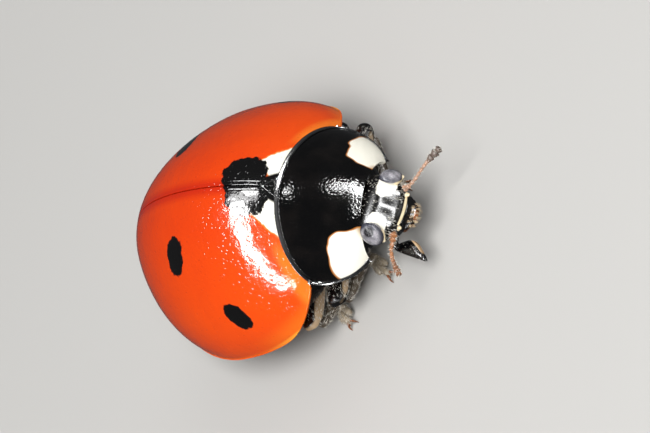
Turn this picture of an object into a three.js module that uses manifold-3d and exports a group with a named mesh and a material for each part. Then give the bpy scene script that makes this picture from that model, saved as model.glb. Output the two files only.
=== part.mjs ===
// A seven-spot ladybird, life size, standing low on drawn-in legs with its head turned a
// little to its right. Millimetres, +Z up, head towards -Y, the animal's left towards +X.
// The origin is on the ground, under the middle of the whole animal.
import * as THREE from 'three';
import { mergeVertices } from 'three/addons/utils/BufferGeometryUtils.js';
import Module from 'manifold-3d';

const wasm = await Module();
wasm.setup();

// ---------------------------------------------------------------- driving dimensions, mm
const MARGIN_HEIGHT = 1.2;        // the wing cases' lower edge above the ground
const HALF_WIDTH = 2.65;          // of the closed wing cases, at their widest place, y = 0
const CREST = 2.35;               // top of the wing cases above their lower edge
const APEX_Y = 3.0;               // tip of the wing cases behind the widest place
const BASE_Y = -2.17;             // where the wing cases meet the pronotum on the midline
const SHELL = 0.5;                // thickness of a wing case and of the pronotum
const SEAM = 0.03;                // gap kept between touching plates
const LINING = 0.07;              // gap between the wing cases and the trunk in their hollow
const SCUTELLUM_WIDTH = 0.36;
const SCUTELLUM_LENGTH = 0.34;
const PRONOTUM_HALF_WIDTH = 1.62;
const PRONOTUM_FRONT_Y = -3.5;
const HEAD_HALF = [0.66, 0.45, 0.58];
const HEAD_YAW = 0.18;            // the head's turn to its right, radians
const HEAD_CENTRE = [-0.08, -3.5, 0.0];
const EYE_HALF = [0.22, 0.24, 0.25];
const EYE_SPREAD = 0.64;          // from the head's midline to an eye's centre
const COXA_R = 0.2;
const HIP_R = 0.18;
const FEMUR_R = 0.25;
const KNEE_R = 0.22;
const TIBIA_R = 0.2;
const TARSUS_R = 0.21;
const TOE_R = 0.18;
const STERNITES = 6;              // belly plates of the abdomen
const STERNITE_LENGTH = 0.4;
const STERNITE_STEP = 0.04;

// Levels measured from the lower edge of the wing cases.
const FLOOR = -MARGIN_HEIGHT;
const COXA_LEVEL = -0.5;
const HIP_LEVEL = -0.42;
const KNEE_LEVEL = -0.37;
const SHIN_TOP_LEVEL = -0.84;
const SHIN_FOOT_LEVEL = -0.96;
const TOE_LEVEL = FLOOR + 0.17;

const V = (x, y, z) => new THREE.Vector3(x, y, z);
const lerp = THREE.MathUtils.lerp;
const fallOff = (u, power) => Math.max(0, 1 - Math.abs(u) ** power);
const superArc = (u, power) => fallOff(u, power) ** (1 / power);

// ---------------------------------------------------------------- materials
const paint = (color, roughness) => new THREE.MeshStandardMaterial({ color, roughness });
const elytronRed = paint(0xd9420e, 0.25);
const glossBlack = paint(0x100e0e, 0.22);
const bellyBlack = paint(0x1b1716, 0.45);
const eyeGrey = paint(0x6d7080, 0.3);
const palePlate = paint(0xe9dfb8, 0.4);
const feelerBrown = paint(0x6a3d20, 0.45);

// ---------------------------------------------------------------- solids and meshes
const MERGE_DISTANCE = 1e-4;

function bare(geometry) {
  const copy = geometry.clone();
  copy.deleteAttribute('normal');
  copy.deleteAttribute('uv');
  return mergeVertices(copy, MERGE_DISTANCE);
}

function solidFrom({ index, attributes }, insideOut = false) {
  const triVerts = [];
  for (let k = 0; k < index.count; k += 3) {
    const [a, b, c] = [index.getX(k), index.getX(k + 1), index.getX(k + 2)];
    if (a === b || b === c || a === c) continue;
    if (insideOut) triVerts.push(a, c, b);
    else triVerts.push(a, b, c);
  }
  return new wasm.Manifold(new wasm.Mesh({
    numProp: 3,
    vertProperties: new Float32Array(attributes.position.array),
    triVerts: new Uint32Array(triVerts),
  }));
}

// A solid with its faces outward, whichever way round the geometry was drawn.
function toSolid(geometry) {
  const merged = bare(geometry);
  const solid = solidFrom(merged);
  return solid.volume() < 0 ? solidFrom(merged, true) : solid;
}

function toGeometry(solid) {
  const { vertProperties, triVerts } = solid.getMesh();
  const geometry = new THREE.BufferGeometry();
  geometry.setAttribute('position', new THREE.BufferAttribute(new Float32Array(vertProperties), 3));
  geometry.setIndex(new THREE.BufferAttribute(new Uint32Array(triVerts), 1));
  geometry.computeVertexNormals();
  return geometry;
}

// A closed plate between two skins, each a function of (across, along) in 0..1.
function plate(outer, inner, across, along) {
  const position = [];
  const index = [];
  const skin = (surface) => {
    const first = position.length / 3;
    for (let j = 0; j <= along; j++) {
      for (let i = 0; i <= across; i++) position.push(...surface(i / across, j / along));
    }
    return (i, j) => first + j * (across + 1) + i;
  };
  const quad = (a, b, c, d) => index.push(a, b, c, a, c, d);
  const top = skin(outer);
  const under = skin(inner);
  for (let j = 0; j < along; j++) {
    for (let i = 0; i < across; i++) {
      quad(top(i, j), top(i + 1, j), top(i + 1, j + 1), top(i, j + 1));
      quad(under(i, j), under(i, j + 1), under(i + 1, j + 1), under(i + 1, j));
    }
    quad(top(0, j), top(0, j + 1), under(0, j + 1), under(0, j));
    quad(top(across, j), under(across, j), under(across, j + 1), top(across, j + 1));
  }
  for (let i = 0; i < across; i++) {
    quad(top(i, 0), under(i, 0), under(i + 1, 0), top(i + 1, 0));
    quad(top(i, along), top(i + 1, along), under(i + 1, along), under(i, along));
  }
  const geometry = new THREE.BufferGeometry();
  geometry.setAttribute('position', new THREE.Float32BufferAttribute(position, 3));
  geometry.setIndex(index);
  return toSolid(geometry);
}

// A rounded limb segment from a to b, turned on its own length; belly is its middle radius.
function limb(a, b, startRadius, endRadius, belly = Math.max(startRadius, endRadius)) {
  const length = a.distanceTo(b);
  const profile = [
    [0, -startRadius],
    [startRadius * 0.75, -startRadius * 0.62],
    [startRadius, startRadius * 0.1],
    [belly, length * 0.5],
    [endRadius, length - endRadius * 0.1],
    [endRadius * 0.75, length + endRadius * 0.62],
    [0, length + endRadius],
  ].map(([radius, height]) => new THREE.Vector2(radius, height));
  const geometry = new THREE.LatheGeometry(profile, 8);
  const along = b.clone().sub(a).normalize();
  const sideways = new THREE.Vector3().crossVectors(along, V(0, 0, 1)).normalize();
  const upwards = new THREE.Vector3().crossVectors(sideways, along);
  geometry.applyMatrix4(new THREE.Matrix4().makeBasis(sideways, along, upwards));
  return toSolid(geometry.translate(a.x, a.y, a.z));
}

// A pillow: a ball drawn out to the given half sizes, squarer as its power grows.
function pillow([halfX, halfY, halfZ], centre, { power = 2, around = 14, rings = 8, yaw = 0 } = {}) {
  const geometry = new THREE.SphereGeometry(1, around, rings);
  geometry.rotateX(Math.PI / 2);
  const spot = geometry.attributes.position;
  const swell = (u) => Math.sign(u) * Math.abs(u) ** (2 / power);
  for (let k = 0; k < spot.count; k++) {
    spot.setXYZ(k, halfX * swell(spot.getX(k)), halfY * swell(spot.getY(k)), halfZ * swell(spot.getZ(k)));
  }
  geometry.rotateZ(yaw);
  return toSolid(geometry.translate(...centre));
}

const grown = (half) => half.map((size) => size + SEAM);
const joined = (...solids) => solids.reduce((whole, next) => whole.add(next));
const carved = (solid, ...tools) => tools.reduce((left, tool) => left.subtract(tool), solid);

const ladybird = new THREE.Group();
const body = new THREE.Group();
ladybird.add(body);

function piece(name, solid, material) {
  const mesh = new THREE.Mesh(toGeometry(solid), material);
  mesh.name = name;
  body.add(mesh);
}

// ---------------------------------------------------------------- the wing cases
// One dome serves the wing cases, their hollow and the trunk that fills it, by its inset.
function dome(inset) {
  const behind = APEX_Y - inset;
  const crestAhead = 3.07 - 0.84 * inset;
  const halfAhead = 2.63 - 0.3 * inset;
  const profile = (y) => Math.sqrt(fallOff(y / (y < 0 ? crestAhead : behind), 2.075));
  const crest = (y) => (CREST - inset) * profile(y);
  const outline = (y) => (y < 0 ? superArc(y / halfAhead, 2.6) : superArc(y / behind, 1.85));
  const half = (y) => (HALF_WIDTH - inset) * outline(y);
  return { crest, half, behind };
}

// The lower edge of the wing cases rises towards the shoulders.
const marginRise = (y) => 0.5 * Math.max(0, (-y - 1.2) / 1.1) ** 2;

// The front edge of the wing cases, from the scutellum (0) to the shoulder (1).
const elytronBase = (across) => BASE_Y - 0.13 * across ** 2;

// The stations crowd together towards the tip, where the dome turns down steeply.
const tipwards = (along) => 0.7 * Math.sin(along * Math.PI / 2) + 0.3 * along;

function elytronSkin(side, inset) {
  const { crest, half, behind } = dome(inset);
  return (across, along) => {
    const y = lerp(elytronBase(across), behind, tipwards(along));
    const top = crest(y);
    const lowest = top > MERGE_DISTANCE ? Math.acos(Math.min(1, marginRise(y) / top)) : Math.PI / 2;
    const turn = lowest * across;
    return [side * (SEAM / 2 + half(y) * Math.sin(turn)), y, top * Math.cos(turn)];
  };
}

// The scutellum is a small upright wedge let into the wing cases where they meet the pronotum.
function scutellumWedge(grow) {
  const width = SCUTELLUM_WIDTH / 2 + grow;
  const front = BASE_Y - 0.1;
  const shoulder = BASE_Y + 0.02;
  const tip = BASE_Y + SCUTELLUM_LENGTH + 1.4 * grow;
  const outline = new THREE.Shape([
    new THREE.Vector2(-width, front),
    new THREE.Vector2(width, front),
    new THREE.Vector2(width, shoulder),
    new THREE.Vector2(0, tip),
    new THREE.Vector2(-width, shoulder),
  ]);
  const column = new THREE.ExtrudeGeometry(outline, { depth: 0.85, bevelEnabled: false });
  return toSolid(column.translate(0, 0, 1.2 - grow));
}

const ELYTRON_ACROSS = 12;
const ELYTRON_ALONG = 18;
for (const [name, side] of [['elytron_left', 1], ['elytron_right', -1]]) {
  const shell = plate(elytronSkin(side, 0), elytronSkin(side, SHELL), ELYTRON_ACROSS, ELYTRON_ALONG);
  piece(name, carved(shell, scutellumWedge(SEAM)), elytronRed);
}

// ---------------------------------------------------------------- the pronotum
// An arched shield: a side edge, a midline, and arcs across between them.
const sideEdge = new THREE.CatmullRomCurve3([
  V(PRONOTUM_HALF_WIDTH, -2.36, 0.6),
  V(1.6, -2.52, 0.42),
  V(1.51, -2.73, 0.24),
  V(1.38, -2.93, 0.08),
  V(1.2, -3.1, -0.03),
  V(1.0, -3.2, -0.1),
]);
const midline = new THREE.CatmullRomCurve3([
  V(0, BASE_Y - SEAM, 1.68),
  V(0, -2.55, 1.5),
  V(0, -2.95, 1.2),
  V(0, -3.3, 0.82),
  V(0, PRONOTUM_FRONT_Y, 0.55),
]);

// inset lowers the crest and draws the edges in; drop moves the whole skin down.
function pronotumSkin(inset, drop = 0, reach = 1) {
  return (across, along) => {
    const turn = (across - 0.5) * Math.PI;
    const edge = sideEdge.getPoint(along * reach);
    const crest = midline.getPoint(along * reach);
    const lowered = inset * lerp(1.25, 0.8, along * reach);
    return [
      (edge.x - inset) * Math.sin(turn),
      lerp(crest.y, edge.y, Math.sin(turn) ** 2),
      lerp(edge.z, crest.z - lowered, Math.cos(turn) ** 1.25) - drop,
    ];
  };
}

piece('pronotum', plate(pronotumSkin(0), pronotumSkin(SHELL), 16, 7), glossBlack);

// What stands under or just before the pronotum is cut back by these taller copies of it.
const TALLER = -0.6;
const ahead = (surface) => (across, along) => {
  const [x, y, z] = surface(across, along);
  return [x, y - 2 * SEAM, z];
};
const liftedTop = pronotumSkin(0, TALLER);
const liftedUnder = pronotumSkin(SHELL, SEAM);
const pronotumAbove = plate(liftedTop, liftedUnder, 12, 5);
const pronotumBefore = plate(ahead(liftedTop), ahead(liftedUnder), 12, 5);

// The scutellum is trimmed level with the dome of the wing cases.
const acrossScutellum = (across) => lerp(-0.6, 0.6, across);
const alongScutellum = (along) => lerp(-3, -1, along);
const aboveDome = plate(
  (across, along) => [acrossScutellum(across), alongScutellum(along), CREST + 1],
  (across, along) => {
    const y = alongScutellum(along);
    return [acrossScutellum(across), y, dome(0).crest(y) + 0.01];
  },
  1, 12,
);
piece('scutellum', carved(scutellumWedge(0), pronotumAbove, aboveDome), glossBlack);

// ---------------------------------------------------------------- legs
// Each leg's joints seen from above, the left side's way round: the front feet reach
// forward and every shin lies folded under its thigh.
const frontHip = { coxa: [0.3, -2.5], hip: [0.72, -2.42] };
const middleHip = { coxa: [0.4, -1.2], hip: [0.85, -1.2] };
const hindHip = { coxa: [0.45, 0.02], hip: [0.9, 0.12] };
const legs = [
  ['front_left', frontHip, { side: 1, knee: [1.92, -1.98], ankle: [1.0, -2.16], toe: [0.98, -2.74] }],
  ['front_right', frontHip, { side: -1, knee: [1.5, -2.06], ankle: [0.6, -2.16], toe: [0.86, -2.74] }],
  ['middle_left', middleHip, { side: 1, knee: [2.08, -1.22], ankle: [1.34, -1.2], toe: [1.72, -1.72] }],
  ['middle_right', middleHip, { side: -1, knee: [1.92, -1.38], ankle: [1.2, -1.28], toe: [1.62, -1.84] }],
  ['hind_left', hindHip, { side: 1, knee: [1.85, 0.72], ankle: [1.3, 1.12], toe: [1.66, 1.8] }],
  ['hind_right', hindHip, { side: -1, knee: [1.82, 0.76], ankle: [1.26, 1.14], toe: [1.6, 1.82] }],
];
const FRONT_LEGS = 2;
const MIDDLE_LEGS = 2;

const belowGround = toSolid(new THREE.BoxGeometry(20, 20, 4).translate(0, 0, FLOOR - 2));
const coxaPillow = (half, place) => pillow(half, place, { around: 8, rings: 5 });

// The trunk is hollowed round every hip and thigh by these slightly larger copies.
const recesses = legs.map(([name, { coxa, hip }, { side, knee, ankle, toe }]) => {
  const at = ([x, y], z) => V(side * x, y, z);
  const hipAt = at(hip, HIP_LEVEL);
  const kneeAt = at(knee, KNEE_LEVEL);
  const ankleAt = at(ankle, SHIN_FOOT_LEVEL);
  const shinTop = at(knee, SHIN_TOP_LEVEL).lerp(at(ankle, SHIN_TOP_LEVEL), 0.06);
  const toeAt = at(toe, TOE_LEVEL);
  const footGap = TIBIA_R + TARSUS_R + 2 * SEAM;
  const footStart = ankleAt.clone().lerp(toeAt, footGap / ankleAt.distanceTo(toeAt)).setZ(TOE_LEVEL);
  const coxaPlace = [side * coxa[0], coxa[1], COXA_LEVEL];
  const coxaHalf = [COXA_R, COXA_R, COXA_R];

  piece(`coxa_${name}`, coxaPillow(coxaHalf, coxaPlace), bellyBlack);
  piece(`femur_${name}`, limb(hipAt, kneeAt, HIP_R, KNEE_R, FEMUR_R), bellyBlack);
  piece(`tibia_${name}`, limb(shinTop, ankleAt, TIBIA_R, TIBIA_R), bellyBlack);
  piece(`tarsus_${name}`, carved(limb(footStart, toeAt, TARSUS_R, TOE_R), belowGround), bellyBlack);
  return joined(
    limb(hipAt, kneeAt, HIP_R + SEAM, KNEE_R + SEAM, FEMUR_R + SEAM),
    coxaPillow(grown(coxaHalf), coxaPlace),
  );
});

// ---------------------------------------------------------------- the trunk
// The prothorax fills the hinder part of the pronotum's hollow.
const PROTHORAX_REACH = 0.54;
const prothoraxBack = (across, along) =>
  pronotumSkin(SHELL + 0.05, SEAM, PROTHORAX_REACH)(across, lerp(0.06, 1, along));
const prothoraxBelly = (across, along) => {
  const [x, y] = prothoraxBack(across, along);
  return [0.85 * x, y, -0.46 - 0.06 * Math.sin(across * Math.PI)];
};
const prothorax = plate(prothoraxBack, prothoraxBelly, 12, 4);
piece('prothorax', carved(prothorax, ...recesses.slice(0, FRONT_LEGS + MIDDLE_LEGS)), bellyBlack);

// The hollow of the wing cases, filled; below their edge the belly bulges down.
function trunk(stations, depth) {
  const { crest, half } = dome(SHELL);
  const last = stations.length - 1;
  const arc = (across) => (across - 0.5) * Math.PI;
  const flank = (across, y) => (half(y) - LINING) * Math.sin(arc(across));
  const back = (across, along) => {
    const y = stations[Math.round(along * last)];
    return [flank(across, y), y, (crest(y) - LINING) * Math.cos(arc(across))];
  };
  const belly = (across, along) => {
    const y = stations[Math.round(along * last)];
    return [flank(across, y), y, -depth(y) * Math.cos(arc(across)) ** 1.2];
  };
  return plate(back, belly, 12, last);
}

const THORAX_STATIONS = [-2.05, -1.9, -1.7, -1.4, -1.0, -0.6, -0.12];
const chestDepth = (y) => 0.58 - 0.25 * Math.max(0, (-1.7 - y) / 0.35) ** 2;
const thorax = trunk(THORAX_STATIONS, chestDepth);
piece('thorax', carved(thorax, ...recesses.slice(FRONT_LEGS)), bellyBlack);

// Each belly plate of the abdomen steps up a little where it laps the next one.
const ABDOMEN_FRONT = -0.08;
const ABDOMEN_END = 2.4;
const STEP_RUN = 0.02;
const abdomenStations = [];
for (let k = 0; k < STERNITES; k++) {
  const front = ABDOMEN_FRONT + k * STERNITE_LENGTH;
  abdomenStations.push(front, front + STERNITE_LENGTH - STEP_RUN);
}
abdomenStations.push(ABDOMEN_END);
const bellyDepth = (y) => {
  const alongPlate = ((y - ABDOMEN_FRONT) / STERNITE_LENGTH) % 1;
  const bulge = 0.56 * Math.sqrt(fallOff(y / (ABDOMEN_END + 0.12), 2.4));
  return bulge + STERNITE_STEP * (alongPlate - 0.5);
};
const abdomen = trunk(abdomenStations, bellyDepth);
piece('abdomen', carved(abdomen, ...recesses.slice(FRONT_LEGS + MIDDLE_LEGS)), bellyBlack);

// ---------------------------------------------------------------- the head
// Places on the head: x to its left, ahead of its centre, and up.
const onHead = (x, forward, up) => [
  HEAD_CENTRE[0] + x * Math.cos(HEAD_YAW) - forward * Math.sin(HEAD_YAW),
  HEAD_CENTRE[1] - x * Math.sin(HEAD_YAW) - forward * Math.cos(HEAD_YAW),
  HEAD_CENTRE[2] + up,
];
const headPillow = (half, place, options) => pillow(half, onHead(...place), { yaw: -HEAD_YAW, ...options });
const MOUTH_DETAIL = { power: 3, around: 8, rings: 6 };
const EYE_DETAIL = { around: 12, rings: 7 };

const mouthparts = [
  ['clypeus', [0.44, 0.16, 0.1], [0, 0.38, -0.12], palePlate],
  ['labrum', [0.34, 0.14, 0.12], [0, 0.34, -0.37], glossBlack],
  ['mandible_left', [0.15, 0.16, 0.1], [0.19, 0.14, -0.58], feelerBrown],
  ['mandible_right', [0.15, 0.16, 0.1], [-0.19, 0.14, -0.58], feelerBrown],
  ['labium', [0.24, 0.16, 0.1], [0, -0.2, -0.58], bellyBlack],
];
const eyes = [
  ['eye_left', [EYE_SPREAD, 0.25, 0.32]],
  ['eye_right', [-EYE_SPREAD, 0.25, 0.32]],
];
const sockets = [
  ...mouthparts.map(([, half, place]) => headPillow(grown(half), place, MOUTH_DETAIL)),
  ...eyes.map(([, place]) => headPillow(grown(EYE_HALF), place, EYE_DETAIL)),
];
const headBall = headPillow(HEAD_HALF, [0, 0, 0], { power: 2.3, around: 16, rings: 10 });
piece('head', carved(headBall, pronotumAbove, pronotumBefore, ...sockets), glossBlack);
for (const [name, half, place, material] of mouthparts) {
  piece(name, headPillow(half, place, MOUTH_DETAIL), material);
}
for (const [name, place] of eyes) piece(name, headPillow(EYE_HALF, place, EYE_DETAIL), eyeGrey);

// Feelers and palps: a few thick lengths joined end to end, each joint a place and a radius.
function chain(name, material, ...joints) {
  const lengths = joints.slice(1).map(([end, endRadius], k) => {
    const [start, startRadius] = joints[k];
    return limb(start, end, startRadius, endRadius);
  });
  piece(name, joined(...lengths), material);
}

chain('antenna_left', feelerBrown,
  [V(0.46, -4.12, -0.08), 0.15], [V(0.66, -4.42, 0), 0.18], [V(0.95, -4.72, 0), 0.23]);
chain('antenna_right', feelerBrown,
  [V(-0.76, -4.0, -0.1), 0.15], [V(-1.1, -4.1, -0.1), 0.18], [V(-1.36, -4.16, -0.16), 0.23]);
chain('palp_right', glossBlack,
  [V(-0.6, -3.62, -0.56), 0.14], [V(-0.76, -3.72, -0.6), 0.18], [V(-0.9, -4.02, -0.7), 0.24]);
chain('palp_left', glossBlack,
  [V(0.5, -3.46, -0.5), 0.12], [V(0.46, -3.34, -0.66), 0.16], [V(0.2, -3.2, -0.84), 0.2]);

// ---------------------------------------------------------------- stand it on the ground
const reach = new THREE.Box3().setFromObject(ladybird, true);
body.position.set(-(reach.min.x + reach.max.x) / 2, -(reach.min.y + reach.max.y) / 2, -reach.min.z);

export default ladybird;
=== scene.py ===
"""A seven-spot ladybird, life size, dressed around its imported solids.

Metres, +Z up, head towards -Y, the animal's left towards +X. Sizes below are written in
millimetres and turned into metres by MM where they are used.
"""

import math
import random

import bmesh
import bpy
from mathutils import Matrix, Vector


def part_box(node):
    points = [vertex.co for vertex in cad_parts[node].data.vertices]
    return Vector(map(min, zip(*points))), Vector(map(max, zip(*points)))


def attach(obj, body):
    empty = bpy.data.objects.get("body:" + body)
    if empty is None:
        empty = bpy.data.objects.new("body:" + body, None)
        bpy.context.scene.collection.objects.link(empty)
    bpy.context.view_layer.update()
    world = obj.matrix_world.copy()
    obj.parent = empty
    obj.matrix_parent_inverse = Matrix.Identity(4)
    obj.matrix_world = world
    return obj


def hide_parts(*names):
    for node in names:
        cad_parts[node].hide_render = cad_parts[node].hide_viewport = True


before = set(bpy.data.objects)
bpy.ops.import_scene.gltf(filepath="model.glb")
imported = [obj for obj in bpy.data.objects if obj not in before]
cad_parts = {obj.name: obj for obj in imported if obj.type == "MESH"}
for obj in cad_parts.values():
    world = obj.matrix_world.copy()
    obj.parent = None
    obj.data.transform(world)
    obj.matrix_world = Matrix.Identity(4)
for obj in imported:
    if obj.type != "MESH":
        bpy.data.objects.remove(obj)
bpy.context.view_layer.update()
bpy.ops.object.select_all(action="DESELECT")
MM = 0.001


# ------------------------------------------------------------ the camera
# A long macro lens, looking down past the right shoulder from the animal's front right,
# and rolled until the head points to the right of the frame.

DOME_CENTRE = Vector((0.0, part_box("elytron_left")[1].y - 3.0 * MM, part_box("elytron_left")[0].z))
CAMERA_DISTANCE = 110 * MM
CAMERA_AZIMUTH = 0.417
CAMERA_ELEVATION = 0.605
CAMERA_ROLL = -0.236
CAMERA_SHIFT_RIGHT = 1.1065 * MM
CAMERA_SHIFT_UP = 0.3327 * MM
IMAGE_WIDTH = 650
PIXELS_PER_MM = 50.793
SENSOR_WIDTH = 36
NEAR_LIMIT = 1 * MM
FAR_LIMIT = 10


def axes_at(place, x_way, y_way, z_way):
    """The matrix that stands an object at a place, its axes along three given directions."""
    return Matrix([*zip(x_way, y_way, z_way, place), (0, 0, 0, 1)])


towards_viewer = Vector((
    -math.sin(CAMERA_AZIMUTH) * math.cos(CAMERA_ELEVATION),
    -math.cos(CAMERA_AZIMUTH) * math.cos(CAMERA_ELEVATION),
    math.sin(CAMERA_ELEVATION),
))
headwards = Vector((0, -1, 0))
flat_headwards = (headwards - headwards.dot(towards_viewer) * towards_viewer).normalized()
flat_sideways = towards_viewer.cross(flat_headwards)
view_right = math.cos(CAMERA_ROLL) * flat_headwards + math.sin(CAMERA_ROLL) * flat_sideways
view_up = -math.sin(CAMERA_ROLL) * flat_headwards + math.cos(CAMERA_ROLL) * flat_sideways
viewpoint = (
    DOME_CENTRE + CAMERA_DISTANCE * towards_viewer
    + CAMERA_SHIFT_RIGHT * view_right + CAMERA_SHIFT_UP * view_up
)

bpy.ops.object.camera_add()
camera = bpy.context.object
camera.name = "camera"
camera.matrix_world = axes_at(viewpoint, view_right, view_up, towards_viewer)
camera.data.sensor_width = SENSOR_WIDTH
camera.data.lens = PIXELS_PER_MM * CAMERA_DISTANCE / MM / IMAGE_WIDTH * SENSOR_WIDTH
camera.data.clip_start = NEAR_LIMIT
camera.data.clip_end = FAR_LIMIT
bpy.context.scene.camera = camera
bpy.context.scene.view_settings.view_transform = "Standard"


# ------------------------------------------------------------ the floor and the lights
# A plain pale table top under two broad soft boxes, key and fill, that give all the light.
# The strips are long narrow boxes that give only the gleams: over the back and down the
# right flank, and in front of the shield and the face.

FLOOR_WIDTH = 1600 * MM
FLOOR_GREY = (0.52, 0.51, 0.49, 1)
SKY_BLUE = (0.9, 0.95, 1.0, 1)
SKY_STRENGTH = 0.09
LAMPS_AIM = DOME_CENTRE + Vector((0, -1 * MM, 0))
SOFT_BOXES = (
    # name, direction it hangs in, distance, width and length in mm, watts, way its length runs
    ("key", (-0.35, -0.5, 0.79), 200, (120, 120), 0.60, (0, 0, 1)),
    ("fill", (0.85, -0.2, 0.55), 240, (200, 200), 0.13, (0, 0, 1)),
    ("strip_top", (0.13, 0.02, 0.99), 91, (30, 18), 0.016, (-1, -0.15, 0)),
    ("strip_high", (-0.2, 0.03, 0.98), 90, (20, 50), 0.085, (-1, -0.15, 0)),
    ("strip_flank", (-0.66, -0.13, 0.74), 90, (15, 52), 0.085, (-0.34, -0.25, -0.35)),
    ("strip_low", (-0.82, -0.36, 0.44), 90, (10, 28), 0.030, (0, -0.31, -0.42)),
    ("strip_end", (-0.80, -0.54, 0.25), 90, (4.5, 22), 0.011, (0, -0.31, -0.35)),
    ("strip_crown", (0.25, -0.06, 0.96), 90, (8, 14), 0.012, (0, 1, 0)),
    ("strip_brow", (0.47, -0.67, 0.54), 90, (9, 36), 0.040, (0.22, -0.12, -0.34)),
    ("strip_bend", (0.42, -0.78, 0.46), 90, (12, 15), 0.016, (0.22, -0.12, -0.34)),
    ("strip_cheek", (0.03, -0.88, 0.44), 90, (22, 62), 0.15, (-0.16, -0.22, -0.45)),
    ("strip_face", (0.23, -0.88, 0.37), 90, (11, 64), 0.085, (-0.66, -0.20, -0.05)),
)

bpy.ops.mesh.primitive_plane_add(size=FLOOR_WIDTH)
floor = bpy.context.object
floor.name = "floor"
floor_paint = bpy.data.materials.new("floor_paint")
floor_paint.use_nodes = True
floor_shader = floor_paint.node_tree.nodes["Principled BSDF"]
floor_shader.inputs["Base Color"].default_value = FLOOR_GREY
floor_shader.inputs["Roughness"].default_value = 0.7
floor.data.materials.append(floor_paint)
floor.visible_glossy = False

for name, towards, distance, (width, length), watts, length_way in SOFT_BOXES:
    aim = Vector(towards).normalized()
    across_way = Vector(length_way).cross(aim).normalized()
    bpy.ops.object.light_add(type="AREA")
    lamp = bpy.context.object
    lamp.name = name
    lamp.matrix_world = axes_at(LAMPS_AIM + aim * (distance * MM), across_way, aim.cross(across_way), aim)
    lamp.data.shape = "RECTANGLE"
    lamp.data.size = width * MM
    lamp.data.size_y = length * MM
    lamp.data.energy = watts
    lamp.visible_glossy = name.startswith("strip")
    lamp.visible_diffuse = not lamp.visible_glossy

sky = bpy.data.worlds.new("studio")
bpy.context.scene.world = sky
sky.use_nodes = True
sky_shader = sky.node_tree.nodes["Background"]
sky_shader.inputs["Color"].default_value = SKY_BLUE
sky_shader.inputs["Strength"].default_value = SKY_STRENGTH


# ------------------------------------------------------------ the wing cases
# Two hard domed shells of lacquered chitin that meet along the back. Each is one thin
# sheet, turned under along its outer edge into a flat rim, and hinged under the pronotum.

HALF_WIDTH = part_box("elytron_left")[1].x - 0.05 * MM
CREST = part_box("elytron_left")[1].z - DOME_CENTRE.z
APEX = 2.96 * MM
CREST_REACH = 3.07 * MM
SHOULDER_REACH = 2.63 * MM
BASE_MIDDLE = -2.17 * MM
BASE_SHOULDER = -2.3 * MM
CREST_ROUNDNESS = 2.075
SHOULDER_ROUNDNESS = 2.6
TAIL_ROUNDNESS = 1.85
SEAM_GAP = 0.012 * MM
SHELL_WALL = 0.1 * MM
RIM_LIP = 0.02 * MM
FLANK_FLATNESS = 0.045
UNDER_RIM = 0.34 * MM
TIP_SIZE = 0.004 * MM
ARC_STEPS = 40
STATIONS = 44
# How far the stations crowd towards the tip, and the cuts that lift the shoulder's lower edge.
CROWDING = 0.72
LIFTED_MARGIN = (0.12, 0.3, 0.48, 0.66, 0.84, 1.0)
# Nearer than this counts as on a plane, in metres.
HAIR_BREADTH = 1e-8


def take(piece):
    """Makes one piece the only selected and active one."""
    bpy.ops.object.select_all(action="DESELECT")
    piece.select_set(True)
    bpy.context.view_layer.objects.active = piece


def open_up(piece):
    """Opens one piece in edit mode with nothing selected."""
    take(piece)
    bpy.ops.object.mode_set(mode="EDIT")
    bpy.ops.mesh.select_mode(type="VERT")
    bpy.ops.mesh.select_all(action="DESELECT")


def close_up(piece, name=None):
    """Leaves edit mode, names the piece and puts its place into its mesh."""
    if bpy.context.mode == "EDIT_MESH":
        bpy.ops.object.mode_set(mode="OBJECT")
    take(piece)
    if name:
        piece.name = name
        piece.data.name = name
    bpy.ops.object.transform_apply(location=True, rotation=True, scale=True)
    return piece


def select_all():
    bpy.ops.mesh.select_all(action="SELECT")


def pick(piece, test):
    """Selects the vertices that pass the test, and nothing else."""
    shape = bmesh.from_edit_mesh(piece.data)
    bpy.ops.mesh.select_all(action="DESELECT")
    for vertex in shape.verts:
        vertex.select = bool(test(vertex))
    shape.select_flush_mode()
    bmesh.update_edit_mesh(piece.data)


def face_out():
    """Turns all faces of the open piece outwards."""
    select_all()
    bpy.ops.mesh.normals_make_consistent(inside=False)


def move(step):
    bpy.ops.transform.translate(value=step)


def extrude(step):
    bpy.ops.mesh.extrude_region_move(TRANSFORM_OT_translate={"value": step})


def scale(amounts, centre):
    bpy.ops.transform.resize(value=amounts, center_override=centre)


def next_ring(count, step, growth, centre):
    """Draws a new ring out of the selected one, which itself goes to the first place, and sizes it."""
    if count:
        extrude(step)
    else:
        move(step)
    scale(growth, centre)


def finish_with(piece, kind, **settings):
    """Adds a modifier with these settings and applies it."""
    take(piece)
    modifier = piece.modifiers.new(kind.lower(), kind)
    for name, value in settings.items():
        setattr(modifier, name, value)
    bpy.ops.object.modifier_apply(modifier=modifier.name)


def round_edges(piece, width, segments, angle):
    """Rounds the edges that are sharper than an angle, width in millimetres."""
    finish_with(piece, "BEVEL", width=width * MM, segments=segments, limit_method="ANGLE", angle_limit=angle)


def smooth(piece, levels):
    """Subdivides a piece into one smooth surface."""
    finish_with(piece, "SUBSURF", levels=levels, render_levels=levels)
    bpy.ops.object.shade_smooth()


def mirror_copy(piece, name):
    """A copy on the other side of the body, its faces still turned outwards."""
    take(piece)
    bpy.ops.object.duplicate()
    twin = bpy.context.object
    scale((-1, 1, 1), (0, 0, 0))
    close_up(twin, name)
    open_up(twin)
    select_all()
    bpy.ops.mesh.flip_normals()
    return close_up(twin)


def dress(piece, finish, node=None):
    """Gives a piece its material and slot, lets it ride on the body, and stands it in for a node."""
    if finish:
        piece.data.materials.append(finish)
    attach(piece, "root")
    if node:
        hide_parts(node)


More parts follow.
